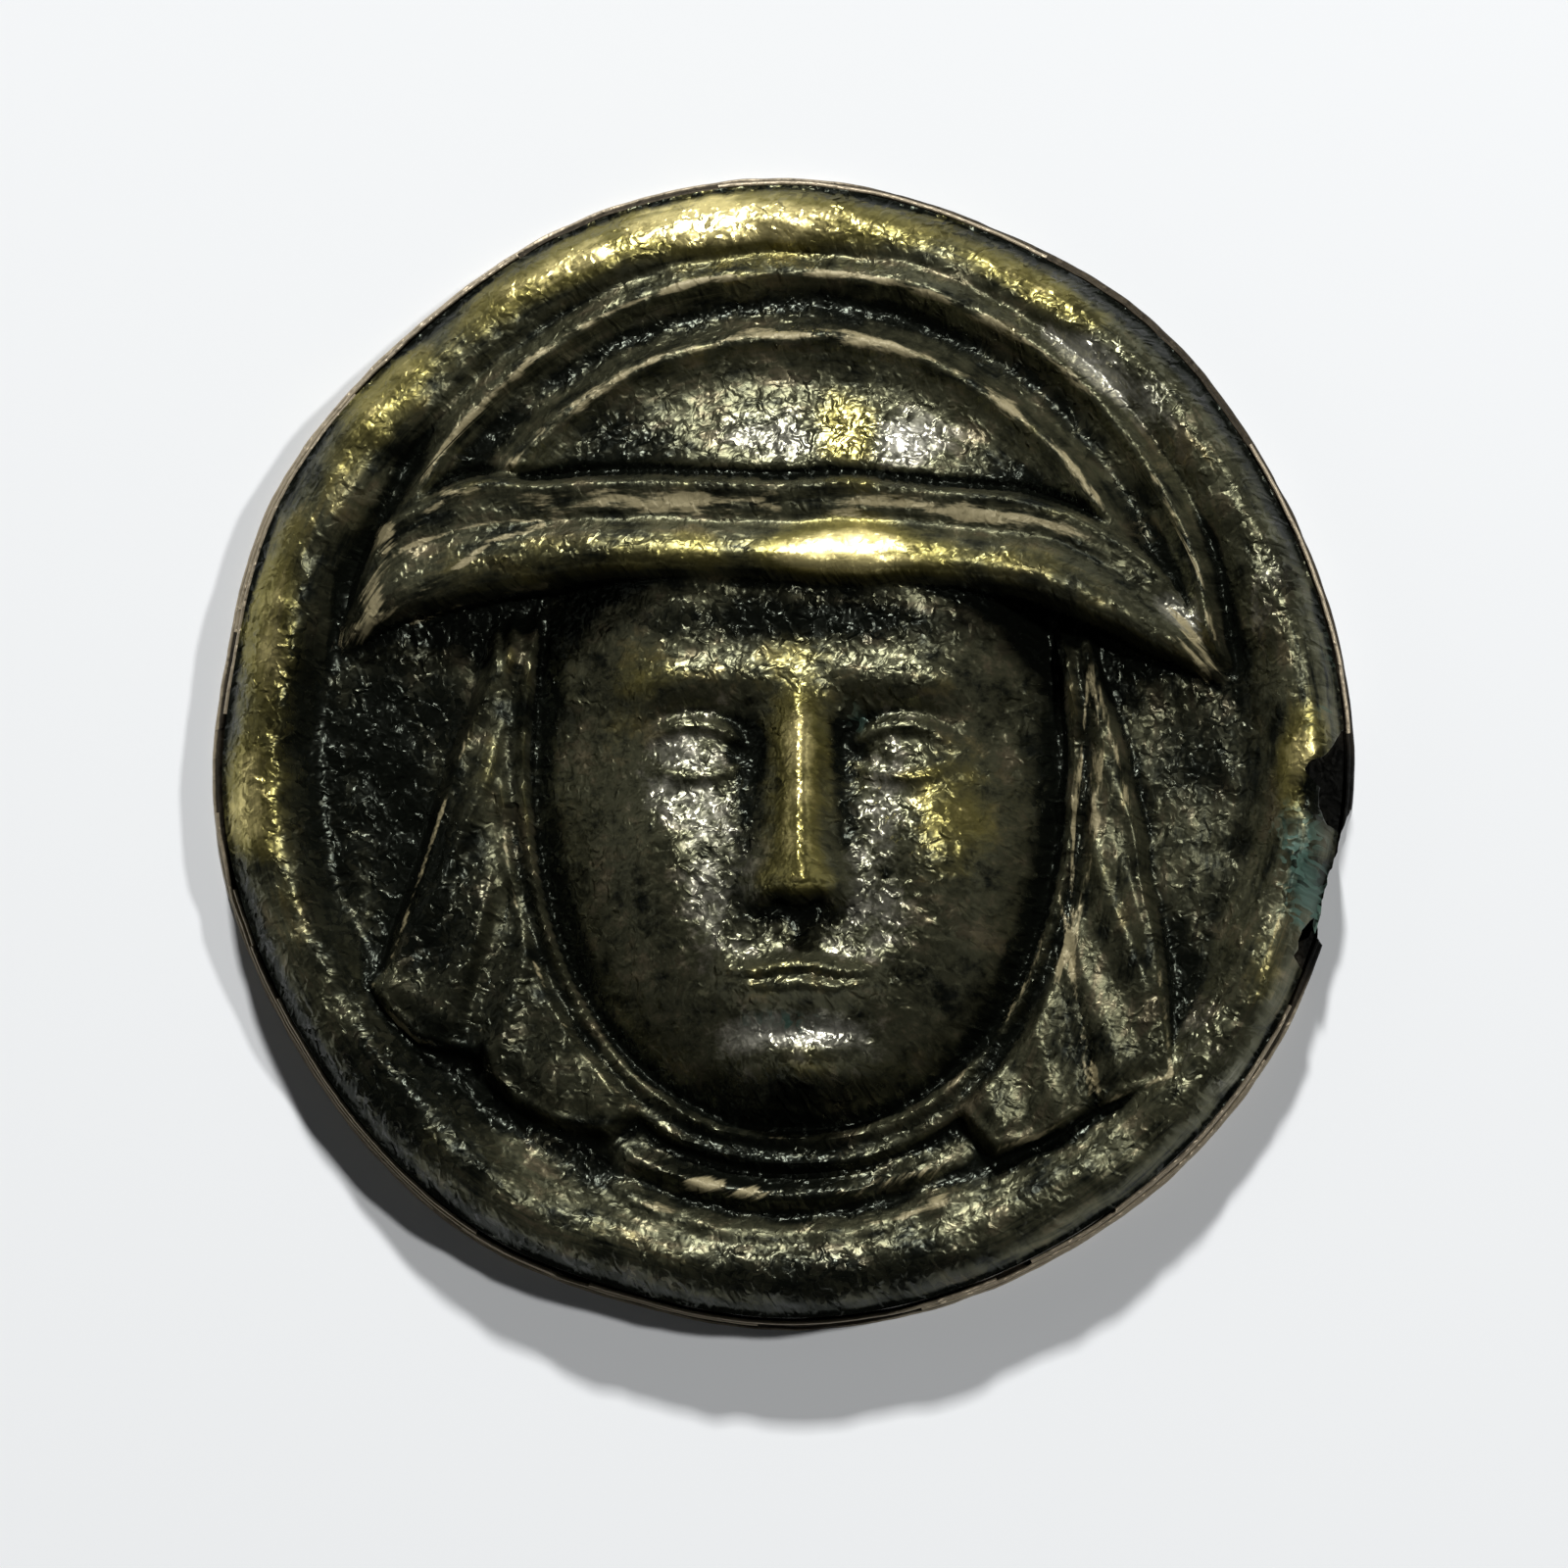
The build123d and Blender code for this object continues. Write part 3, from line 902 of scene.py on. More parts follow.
@dataclass(frozen=True)
class WornGilding:
    """Gold worn thin over a glossy dark patina, with bare ridges and green corrosion. Its gold and silver
    are partly painted highlight where the lamps catch the relief, and its near black is partly painted shade
    in the hollows, along the creases and under the brim.
    """

    patina: Color = (0.096, 0.095, 0.054)
    russet: Color = (0.175, 0.148, 0.088)
    # near black: random mottle, dark patina, and painted shade in the hollows, along the creases and under
    # the brim
    deep: Color = (0.011, 0.013, 0.009)
    # gold and olive: gilding left, laid partly as painted highlight where the lamps catch the relief
    gold: Color = (1.0, 0.85, 0.36)
    olive: Color = (0.22, 0.192, 0.058)
    # silver-white on crumpled places: painted highlight where the lamps catch them
    silver: Color = (0.68, 0.66, 0.55)
    bare: Color = (0.30, 0.257, 0.143)
    green: Color = (0.055, 0.105, 0.08)

    def build(self, grain: bpy.types.NodeTree) -> bpy.types.Material:
        """Builds the material.

        Args:
            grain: The crystal grain group.

        Returns:
            The material.
        """
        material, wires, shader = new_material(Finish.FRONT)
        place = wires.plan(wires.node("ShaderNodeTexCoord").outputs["Object"])
        names = ("hollow", "worn", "gilt", "bare", "green", "dark_patina_and_shade", "crumple", "polish")
        hollow, worn, gilt, bare, green, dark_patina_and_shade, crumple, polish = map(wires.attribute, names)
        polished = wires.math("MULTIPLY_ADD", polish, -0.32, wires.math("MULTIPLY_ADD", gilt, -0.15, 0.62))
        broken = wires.math("MULTIPLY_ADD", gilt, -0.6, crumple, clamp=True)
        crystals = wires.node("ShaderNodeGroup", node_tree=grain)
        wires.feed(crystals, {"Place": place, "Crumple": wires.blend(broken, polished, 1.0)})
        speckle, crease = crystals.outputs["Speckle"], crystals.outputs["Crease"]
        blotch = wires.noise(place, 420.0, 4.0, 0.66)
        cloud = wires.noise(place, 150.0, 2.0, 0.5)
        run = {0: wires.attribute("along"), 1: wires.attribute("across")}
        drawn = wires.feed(wires.node("ShaderNodeCombineXYZ"), run).outputs[0]
        streak = wires.noise(drawn, 1500.0, 4.0, 0.7)
        mottle = wires.blend(0.5, blotch, streak)
        lifted = wires.math("MULTIPLY_ADD", crumple, 0.1, mottle)
        color = wires.mix(wires.step(lifted, 0.36, 0.56), self.deep, self.patina)
        color = wires.mix(wires.step(mottle, 0.51, 0.66), color, self.russet)
        # gold and olive where gilt is left, partly a painted highlight
        shown = wires.math("MULTIPLY_ADD", gilt, 0.75, wires.math("MULTIPLY", blotch, 0.5))
        shown = wires.math("MULTIPLY_ADD", streak, 0.4, shown)
        shown = wires.math("MULTIPLY_ADD", cloud, 0.5, shown)
        gilded = wires.step(shown, 0.9, 1.26)
        color = wires.mix(gilded, color, self.olive)
        color = wires.mix(wires.step(shown, 1.2, 1.52), color, self.gold)
        # silver-white over crumpled places, a painted highlight
        silver_highlight = wires.math("MULTIPLY_ADD", gilt, -0.9, crumple)
        silver_highlight = wires.math("MULTIPLY_ADD", mottle, 0.95, silver_highlight)
        color = wires.mix(wires.step(silver_highlight, 0.98, 1.45), color, self.silver)
        # near black: dark patina, with painted shade in the hollows and under the brim
        shade_and_patina = wires.math("MULTIPLY_ADD", streak, 0.6, wires.math("MAXIMUM", hollow, dark_patina_and_shade))
        shade_and_patina = wires.math("MULTIPLY_ADD", speckle, -0.2, shade_and_patina)
        shade_and_patina = wires.math("MULTIPLY_ADD", cloud, -0.7, wires.math("ADD", shade_and_patina, 0.33))
        dark = wires.step(shade_and_patina, 0.4, 1.05)
        color = wires.mix(dark, color, self.deep)
        chipped = wires.math("MULTIPLY_ADD", streak, 1.7, bare)
        rubbed = wires.step(chipped, 1.38, 1.68)
        color = wires.mix(rubbed, color, self.bare)
        granular = wires.math("MULTIPLY_ADD", speckle, 0.45, wires.math("MULTIPLY", blotch, 0.9))
        stained = wires.step(wires.math("ADD", granular, green), 1.1, 1.6)
        color = wires.mix(stained, color, self.green)
        # painted shade along the creases, strongest where crumpled
        split = wires.math("MULTIPLY", crease, wires.blend(crumple, 0.1, 0.85))
        color = wires.mix(split, color, self.deep)
        plain = wires.math("MAXIMUM", rubbed, stained)
        solid = wires.blend(gilded, 0.78, 0.88)
        shine = wires.blend(crumple, wires.blend(worn, 0.44, 0.38), 0.27)
        shine = wires.blend(dark, shine, 0.25)
        settings = {
            "Base Color": color,
            "Metallic": wires.blend(plain, solid, 0.15),
            "Roughness": wires.blend(plain, shine, 0.5),
            "Specular IOR Level": 0.35,
        }
        wires.bump(wires.feed(shader, settings), crystals.outputs["Height"])
        return material


@dataclass(frozen=True)
class DullBronze:
    """Dark bronze of the backing, browner and rubbed pale along its edge, with painted shade beneath the
    tears.
    """

    body: Color = (0.050, 0.040, 0.026)
    rubbed: Color = (0.42, 0.35, 0.24)
    soil: Color = (0.009, 0.008, 0.006)
    # near black painted shade, seen through the tears
    hole_shade_color: Color = (0.004, 0.004, 0.003)

    def build(self, grain: bpy.types.NodeTree) -> bpy.types.Material:
        """Builds the material.

        Args:
            grain: The crystal grain group.

        Returns:
            The material.
        """
        material, wires, shader = new_material(Finish.BACK)
        place = wires.plan(wires.node("ShaderNodeTexCoord").outputs["Object"])
        crystals = wires.node("ShaderNodeGroup", node_tree=grain)
        wires.feed(crystals, {"Place": place, "Crumple": 0.5})
        blotch = wires.noise(place, 300.0, 6.0, 0.65)
        color = wires.mix(wires.step(blotch, 0.45, 0.7), self.body, self.soil)
        handled = wires.math("ADD", wires.attribute("worn"), wires.math("MULTIPLY", blotch, 0.5))
        edge = wires.step(handled, 0.7, 1.05)
        color = wires.mix(edge, color, self.rubbed)
        # painted shade beneath the tears, where they look into the dark inside
        color = wires.mix(wires.attribute("black"), color, self.hole_shade_color)
        metallic, roughness = wires.blend(edge, 0.85, 0.45), wires.blend(edge, 0.6, 0.42)
        wires.feed(shader, {"Base Color": color, "Metallic": metallic, "Roughness": roughness})
        wires.bump(shader, crystals.outputs["Height"])
        return material


# Meshes


@dataclass
class Disc:
    """Rings of points from the middle out, each six points longer than the last."""

    rings: int

    def places(self) -> tuple[np.ndarray, np.ndarray]:
        """Turn and share of the way out of every point.

        Returns:
            The turns in radians, and the shares from 0 to 1.
        """
        turns, shares = [np.zeros(1)], [np.zeros(1)]
        for ring in range(1, self.rings + 1):
            turns.append(np.arange(6 * ring) * (2 * np.pi / (6 * ring)))
            shares.append(np.full(6 * ring, ring / self.rings))
        return np.concatenate(turns), np.concatenate(shares)

    def triangles(self) -> np.ndarray:
        """Triangles between the rings, facing up.

        Returns:
            Rows of three point numbers.
        """
        made = []
        for ring in range(1, self.rings + 1):
            outer_start = 1 + 3 * ring * (ring - 1)
            inner_start = 1 + 3 * (ring - 1) * (ring - 2) if ring > 1 else 0
            inner_count = max(6 * (ring - 1), 1)
            step = np.arange(6 * ring)
            sector, along = np.divmod(step, ring)
            near = inner_start + (sector * (ring - 1) + along) % inner_count
            following = outer_start + (step + 1) % (6 * ring)
            made.append(np.stack([near, outer_start + step, following], axis=1))
            inner_step = along < ring - 1
            beside = inner_start + (sector * (ring - 1) + along + 1) % inner_count
            made.append(np.stack([near, following, beside], axis=1)[inner_step])
        return np.concatenate(made)

    @property
    def edge(self) -> np.ndarray:
        """Point numbers of the outermost ring."""
        start = 1 + 3 * self.rings * (self.rings - 1)
        return np.arange(start, start + 6 * self.rings)


def zip_loops(first: np.ndarray, second: np.ndarray) -> np.ndarray:
    """Triangles between two loops that start together and turn the same way.

    Args:
        first: Point numbers of one loop.
        second: Point numbers of the other.

    Returns:
        Rows of three point numbers, wound first loop forward.
    """
    made = []
    a = b = 0
    while a < len(first) or b < len(second):
        if b >= len(second) or (a < len(first) and (a + 1) * len(second) <= (b + 1) * len(first)):
            made.append((first[a % len(first)], first[(a + 1) % len(first)], second[b % len(second)]))
            a += 1
        else:
            made.append((first[a % len(first)], second[(b + 1) % len(second)], second[b % len(second)]))
            b += 1
    return np.array(made)


def linked(name: str, data: bpy.types.ID) -> bpy.types.Object:
    """Makes an object and links it into the scene.

    Args:
        name: Its name.
        data: Its mesh, light or camera.

    Returns:
        The object.
    """
    made = bpy.data.objects.new(name, data)
    bpy.context.scene.collection.objects.link(made)
    return made


def mesh_object(
    name: str, points: np.ndarray | list, faces: list, edges: list | None = None
) -> bpy.types.Object:
    """Makes a linked object of a mesh given in millimetres.

    Args:
        name: Name of the object and its mesh.
        points: Rows of x, y, z in millimetres.
        faces: Rows of point numbers.
        edges: Pairs of point numbers, for a mesh without faces.

    Returns:
        The object.
    """
    mesh = bpy.data.meshes.new(name)
    mesh.from_pydata((np.asarray(points) * MM).tolist(), edges or [], faces)
    mesh.update()
    return linked(name, mesh)


def closed_object(
    name: str, points: np.ndarray | list, faces: list, shape: Callable[[bmesh.types.BMesh], object]
) -> bpy.types.Object:
    """Makes a closed object whose faces look outward.

    Args:
        name: Name of the object and its mesh.
        points: Rows of x, y, z in millimetres.
        faces: Rows of point numbers.
        shape: Last step on its mesh.

    Returns:
        The object.
    """
    made = mesh_object(name, points, faces)
    work = bmesh.new()
    work.from_mesh(made.data)
    bmesh.ops.recalc_face_normals(work, faces=work.faces)
    shape(work)
    work.to_mesh(made.data)
    work.free()
    return made


def split_faces(work: bmesh.types.BMesh, most: int) -> None:
    """Splits faces with more corners than that into triangles."""
    bmesh.ops.triangulate(work, faces=[face for face in work.faces if len(face.verts) > most])


def baked(body: bpy.types.Object, name: str) -> bpy.types.Mesh:
    """The mesh that an object's modifiers give.

    Args:
        body: Object to read.
        name: Name of the new mesh.

    Returns:
        The mesh.
    """
    depsgraph = bpy.context.evaluated_depsgraph_get()
    mesh = bpy.data.meshes.new_from_object(body.evaluated_get(depsgraph))
    mesh.name = name
    return mesh


def discard(*used: bpy.types.Object) -> None:
    """Removes objects with their meshes.

    Args:
        used: Objects that are no longer needed.
    """
    for piece in used:
        old = piece.data
        bpy.data.objects.remove(piece)
        bpy.data.meshes.remove(old)


def combine(
    body: bpy.types.Object, tools: list[bpy.types.Object], operation: str, name: str
) -> bpy.types.Object:
    """Joins blocks to a body or cuts them out of it, and leaves a plain mesh.

    Args:
        body: Closed object to change. It is removed.
        tools: Closed objects to join or to cut with. They are removed.
        operation: UNION or DIFFERENCE.
        name: Name of the result.

    Returns:
        The changed object.
    """
    for number, tool in enumerate(tools):
        change = body.modifiers.new(f"step_{number}", "BOOLEAN")
        change.operation = operation
        change.solver = "EXACT"
        change.object = tool
    made = linked(name, baked(body, name))
    discard(body, *tools)
    return made


def dress(piece: bpy.types.Object, material: bpy.types.Material, sharp_degrees: float) -> bpy.types.Object:
    """Gives a piece its only material and smooth faces with sharp edges between them.

    Args:
        piece: Object to dress.
        material: Its finish.
        sharp_degrees: Angle between faces from which an edge is sharp.

    Returns:
        The same piece.
    """
    piece.data.materials.clear()
    piece.data.materials.append(material)
    piece.data.shade_smooth()
    piece.data.set_sharp_from_angle(angle=math.radians(sharp_degrees))
    return piece


def paint(piece: bpy.types.Object, name: str, values: np.ndarray) -> None:
    """Stores a named value for each point of a piece."""
    layer = piece.data.attributes.new(name, "FLOAT", "POINT")
    layer.data.foreach_set("value", np.ascontiguousarray(values, dtype=np.float32))


def points_of(piece: bpy.types.Object) -> np.ndarray:
    """Points of a piece.

    Args:
        piece: Object to read.

    Returns:
        Rows of x, y, z in millimetres.
    """
    flat = np.empty(len(piece.data.vertices) * 3)
    piece.data.vertices.foreach_get("co", flat)
    return flat.reshape(-1, 3) / MM


@dataclass
class FrontSheet:
    """The embossed front: one sheet turned down to a wall at its edge."""

    relief: Relief
    thickness: float = 0.45
    wall_foot: float = 0.56
    outside_rings: int = 158
    inside_rings: int = 56
    wall_rows: int = 6
    wall_dent: float = 0.05
    wall_unevenness: Unevenness = Unevenness(seed=31, spacing=2.0)
    softening: float = 0.13
    softening_samples: int = 6
    slope_probe: float = 0.3
    steepest: float = 2.2
    inside_floor: float = 2.35
    tear_step: float = 0.16
    tear_spacing: float = 0.7
    tear_depth: float = 0.22
    cutter_bottom: float = -1.0
    cutter_top: float = 9.0
    edge_loss: Table = (
        (23.6, -1.6),
        (22.35, -2.3),
        (21.6, -4.0),
        (21.25, -5.8),
        (21.05, -7.3),
        (21.3, -8.0),
        (23.6, -9.4),
    )
    rim_tear: Table = (
        (22.05, 0.75),
        (21.3, -0.1),
        (20.25, -0.75),
        (20.9, -1.5),
        (21.25, -3.0),
        (22.2, -3.5),
        (22.6, -1.0),
    )
    small_tear: Table = ((20.2, -6.9), (20.75, -6.6), (20.95, -8.2), (20.3, -8.8), (19.95, -8.0))
    # eight directions and three distances at which the ground round a place is read
    probe_turns: int = 8
    probe_reaches: Row = (0.6, 1.3, 2.6)
    patchiness: Unevenness = Unevenness(seed=41, spacing=1.4, octaves=4)
    # streaks: how far they reach past the brim and the face, and how long they are drawn out
    brim_reach: float = 17.3
    brim_margin: float = 0.3
    face_margin: float = 0.2
    streak_share: float = 0.22
    face_streak_share: float = 0.8
    cap_streak_radius: float = 15.0
    rim_streak_radius: float = 20.0
    # ring radius, half width: ridges rubbed bare on the cap
    bare_rings: Table = ((16.6, 0.26), (14.15, 0.36))
    # points in turn, half width, strength: ridges rubbed bare at the brim's tips
    bare_paths: tuple[tuple[Table, float, float], ...] = (
        (((-17.1, 4.35), (-16.2, 4.9), (-15.9, 6.6), (-15.5, 8.4)), 0.6, 1.0),
        (((-16.0, 5.0), (-14.4, 5.9), (-13.1, 6.7), (-11.5, 8.0), (-9.4, 8.7)), 0.26, 1.0),
        (((-14.6, 5.0), (-13.2, 5.5), (-11.2, 6.0), (-9.2, 6.4)), 0.16, 1.0),
        (((-14.2, 8.8), (-13.2, 9.9), (-11.9, 10.2)), 0.3, 1.0),
        (((14.5, 5.4), (16.2, 4.2), (16.4, 3.3)), 0.9, 0.75),
    )
    # x, y, reach across, reach upward, turn in degrees, strength: where gold is left brightest, laid partly
    # as painted highlight where the lamps catch the rim, brim, crown, nose and cheeks
    gilt_and_highlight_places: Table = (
        (-1.0, 20.8, 9.5, 1.7, 0, 1.0),
        (9.5, 18.6, 5.0, 1.2, -28, 0.7),
        (-9.5, 18.6, 5.5, 1.4, 28, 0.85),
        (-15.8, 14.6, 7.0, 2.4, 46, 0.55),
        (-20.9, 6.5, 2.6, 8.0, 10, 0.68),
        (-21.2, -2.0, 1.4, 3.6, -5, 0.7),
        (20.2, -0.6, 1.4, 1.8, 0, 0.7),
        (2.3, 7.8, 3.8, 1.4, 0, 1.0),
        (1.0, 7.6, 8.5, 1.3, 0, 0.4),
        (2.4, 12.6, 1.5, 2.2, 0, 0.9),
        (0.6, 0.0, 2.4, 6.5, 0, 0.65),
        (7.0, -2.5, 2.0, 4.0, 0, 0.5),
        (-6.2, 2.0, 2.0, 3.0, 0, 0.4),
    )
    # the same columns: where the surface is blackened, by dark patina, darker towards the lower left, and by
    # painted shade under the brim and round the tear
    dark_patina_and_shade_places: Table = (
        (-17.9, -2.0, 2.6, 8.5, 6, 1.0),
        (-15.0, -3.0, 3.5, 9.0, 15, 0.95),
        (20.4, 9.0, 1.6, 5.5, -22, 0.65),
        (-12.0, -11.0, 5.5, 5.0, 0, 0.7),
        (0.0, -16.5, 9.0, 2.2, 0, 0.85),
        (0.5, -13.4, 6.5, 1.1, 0, 0.9),
        (-15.5, -1.0, 2.8, 6.0, 10, 1.1),
        (0.0, -20.5, 14.0, 2.0, 0, 0.7),
        (-15.0, -14.0, 6.0, 4.5, 45, 0.85),
        (0.6, 5.0, 9.5, 1.1, 0, 1.0),
        (17.0, 10.0, 3.0, 6.0, -30, 0.5),
        (16.5, 1.0, 3.5, 5.0, 0, 0.65),
        (15.5, -8.0, 3.5, 8.0, 10, 0.55),
        (-8.6, 7.4, 6.0, 1.2, 3, 0.55),
        (10.6, 6.6, 4.4, 1.2, -22, 0.45),
        (-13.5, 1.5, 3.0, 3.0, 0, 0.8),
        (0.0, 16.2, 10.0, 1.0, 0, 0.35),
        (-6.2, 12.2, 3.4, 1.8, 0, 0.75),
        (21.2, -1.4, 1.4, 2.4, 0, 1.0),
    )
    # the same columns: where the metal has crumpled into coarse crystals, which also take a silver-white
    # painted highlight
    crumple_places: Table = (
        (2.6, 12.2, 5.2, 2.1, 0, 1.0),
        (-1.0, 12.4, 2.6, 1.7, 0, 0.7),
        (-1.0, 20.6, 12.0, 2.0, 0, 0.75),
        (12.5, 15.5, 6.0, 2.2, -38, 0.9),
        (-4.5, -1.0, 3.6, 6.5, 0, 0.75),
        (5.5, -0.5, 3.6, 7.0, 0, 0.65),
        (0.6, 5.0, 6.0, 1.6, 0, 0.5),
        (0.6, -11.5, 5.0, 2.5, 0, 0.85),
        (0.6, -3.0, 9.5, 11.5, 0, 0.8),
        (-20.9, 3.0, 1.6, 10.0, 5, 0.85),
        (0.0, 17.0, 11.0, 1.3, 0, 0.4),
        (0.0, -20.5, 9.0, 1.6, 0, 0.2),
        (19.0, 7.0, 1.8, 5.0, 0, 0.7),
        (17.0, -12.5, 3.0, 5.0, 30, 0.65),
        (15.0, 5.0, 2.6, 2.4, 0, 0.8),
        (-17.0, -12.0, 2.5, 4.0, 0, 0.6),
    )
    # the same columns: where handling has smoothed the gold
    polish_places: Table = (
        (1.6, 7.9, 5.0, 1.5, 0, 1.0),
        (0.6, -2.0, 1.2, 3.5, 0, 0.6),
        (0.6, -8.6, 3.2, 1.3, 0, 0.9),
    )
    # the same columns: verdigris
    green_places: Table = (
        (20.5, -4.9, 1.3, 2.7, 8, 1.0),
        (20.9, -7.2, 0.8, 1.4, 0, 0.8),
        (21.3, 3.0, 0.9, 4.5, -8, 0.5),
        (2.9, 1.4, 0.9, 1.3, 0, 0.5),
        (0.2, -10.6, 1.9, 0.6, 0, 0.7),
    )

    def height_grid(self, turns: np.ndarray, shares: np.ndarray, inset: float) -> np.ndarray:
        """Points of one side of the sheet.

        Args:
            turns: Turn of each point in radians.
            shares: Share of the way out to the wall.
            inset: 0 for the outside, the thickness for the inside.

        Returns:
            Rows of x, y, z.
        """
        reach = shares * (self.relief.outline_radius(turns) - self.relief.lip_width - inset)
        x, y = reach * np.cos(turns), reach * np.sin(turns)
        if not inset:
            heights = self.relief.height(x, y)
            for step in range(self.softening_samples):
                turn = 2 * math.pi * step / self.softening_samples
                shift_x, shift_y = self.softening * math.cos(turn), self.softening * math.sin(turn)
                heights = heights + self.relief.height(x + shift_x, y + shift_y)
            return np.stack([x, y, heights / (1 + self.softening_samples)], axis=1)
        probe = self.slope_probe
        slope_x = (self.relief.height(x + probe, y) - self.relief.height(x - probe, y)) / (2 * probe)
        slope_y = (self.relief.height(x, y + probe) - self.relief.height(x, y - probe)) / (2 * probe)
        steepness = np.minimum(np.hypot(slope_x, slope_y), self.steepest)
        inner = self.relief.height(x, y) - inset * np.hypot(1, steepness)
        return np.stack([x, y, np.maximum(inner, self.inside_floor)], axis=1)

    def closed_sheet(self) -> bpy.types.Object:
        """The whole sheet before its losses are cut.

        Returns:
            A closed object.
        """
        outer, inner = Disc(self.outside_rings), Disc(self.inside_rings)
        points = [self.height_grid(*outer.places(), 0.0)]
        faces = [outer.triangles()]
        loop = outer.edge
        top = points[0][loop]
        count = len(points[0])
        for row in range(1, self.wall_rows + 1):
            share = row / self.wall_rows
            level = top.copy()
            level[:, 2] = top[:, 2] * (1 - share) + self.wall_foot * share
            angle = np.arctan2(level[:, 1], level[:, 0])
            dent = self.wall_unevenness.at(angle * 22, np.full(len(angle), row * 0.7))
            dent = self.wall_dent * math.sin(math.pi * share) * dent
            level[:, :2] *= (1 + dent / self.relief.mean_radius)[:, None]
            points.append(level)
            new_loop = np.arange(count, count + len(loop))
            faces.append(zip_loops(new_loop, loop))
            loop, count = new_loop, count + len(loop)
        start = count
        inside = self.height_grid(*inner.places(), self.thickness)
        points.append(inside)
        faces.append(inner.triangles()[:, ::-1] + start)
        count += len(inside)
        inner_edge = inner.edge + start
        foot = inside[inner.edge].copy()
        foot[:, 2] = self.wall_foot
        points.append(foot)
        inner_foot = np.arange(count, count + len(foot))
        faces.append(zip_loops(inner_edge, inner_foot))
        faces.append(zip_loops(inner_foot, loop))
        return mesh_object("front_sheet_shell", np.concatenate(points), np.concatenate(faces).tolist())

    def ragged_cutter(self, corners: Table, seed: int) -> bpy.types.Object:
        """An upright block with torn sides, to cut a loss with.

        Args:
            corners: The loss's corners in turn.
            seed: Seed of its tears.

        Returns:
            A closed object.
        """
        torn = Unevenness(seed, self.tear_spacing)
        rim = []
        for (ax, ay), (bx, by) in zip(corners, corners[1:] + corners[:1]):
            steps = max(int(math.dist((ax, ay), (bx, by)) / self.tear_step), 1)
            for step in range(steps):
                x, y = ax + (bx - ax) * step / steps, ay + (by - ay) * step / steps
                shift_x = self.tear_depth * float(torn.at(np.array(x), np.array(y)))
                shift_y = self.tear_depth * float(torn.at(np.array(x + 31.0), np.array(y)))
                rim.append((x + shift_x, y + shift_y))
        count = len(rim)
        points = [(x, y, z) for z in (self.cutter_bottom, self.cutter_top) for x, y in rim]
        sides = [(i, (i + 1) % count, count + (i + 1) % count, count + i) for i in range(count)]
        faces = [tuple(range(count))[::-1], tuple(range(count, 2 * count)), *sides]
        return closed_object("cutter", points, faces, lambda work: split_faces(work, 3))

    def cut_losses(self, shell: bpy.types.Object) -> bpy.types.Object:
        """Cuts the losses at the right-hand rim.

        Args:
            shell: The closed sheet.

        Returns:
            The finished sheet.
        """
        losses = ((self.edge_loss, EDGE_LOSS_SEED), (self.rim_tear, 5), (self.small_tear, 8))
        cutters = [self.ragged_cutter(corners, seed) for corners, seed in losses]
        return combine(shell, cutters, "DIFFERENCE", "front_sheet_worn")

    def masks(self, points: np.ndarray) -> dict[str, np.ndarray]:
        """Where the sheet takes painted shade in its hollows, is worn, gilt with painted highlight, bare,
        green, darkened by patina and painted shade, crumpled and polished, and how its streaks run.

        Args:
            points: Rows of x, y, z.

        Returns:
            A value from 0 to 1 per point for each mask, and the streaks' coordinates.
        """
        x, y, z = points.T
        relief = self.relief
        proud = self.proudness(x, y)
        patchy = self.patchiness.at(x, y)
        # gold left on the sheet, laid partly as painted highlight where the lamps catch the relief
        gilt = patches(self.gilt_and_highlight_places, x, y)
        middle = relief.head_distance(x, y) - (relief.band_inner + relief.band_outer) / 2
        # the face band and the outer wall are darkened too; the wall less on the gold, at the upper left and
        # at the lower right
        strap = 0.75 * bell(middle, 0.5) * ease(4.5, 3.0, y)
        away = np.maximum(ease(10.0, 0.0, x), ease(4.0, 10.0, y))
        olive_side = 1 - 0.55 * ease(8.0, -4.0, x) * ease(-6.0, 4.0, y)
        wall = 0.9 * ease(20.9, 21.7, relief.round_radius(x, y)) * (1 - 0.45 * gilt) * away * olive_side
        dark_patina_and_shade = np.maximum(patches(self.dark_patina_and_shade_places, x, y), np.maximum(strap, wall))
        # the hollows take painted shade; the darkened places are dark patina, with painted shade under the
        # brim and round the tear
        shares = {
            "hollow": ease(0.05, -0.6, proud) + 0.25 * patchy,
            "worn": ease(-0.1, 0.5, proud) + 0.25 * patchy,
            "gilt": gilt + 0.3 * ease(0.0, 0.7, proud),
            "bare": self.bareness(x, y, z) * (0.75 + 0.4 * patchy),
            "green": patches(self.green_places, x, y),
            "dark_patina_and_shade": dark_patina_and_shade,
            "crumple": patches(self.crumple_places, x, y),
            "polish": patches(self.polish_places, x, y),
        }
        along, across = self.streak_frame(x, y, z)
        clipped = {name: np.clip(values, 0, 1) for name, values in shares.items()}
        return {"along": along, "across": across, **clipped}

    def proudness(self, x: np.ndarray, y: np.ndarray) -> np.ndarray:
        """How far the relief stands over its surroundings.

        Args:
            x: Places across.
            y: Places upward.

        Returns:
            The difference in height, negative in a hollow.
        """
        around = np.zeros(len(x))
        for turn in range(self.probe_turns):
            angle = 2 * math.pi * turn / self.probe_turns
            for reach in self.probe_reaches:
                around += self.relief.height(x + reach * math.cos(angle), y + reach * math.sin(angle))
        return self.relief.height(x, y) - around / (self.probe_turns * len(self.probe_reaches))

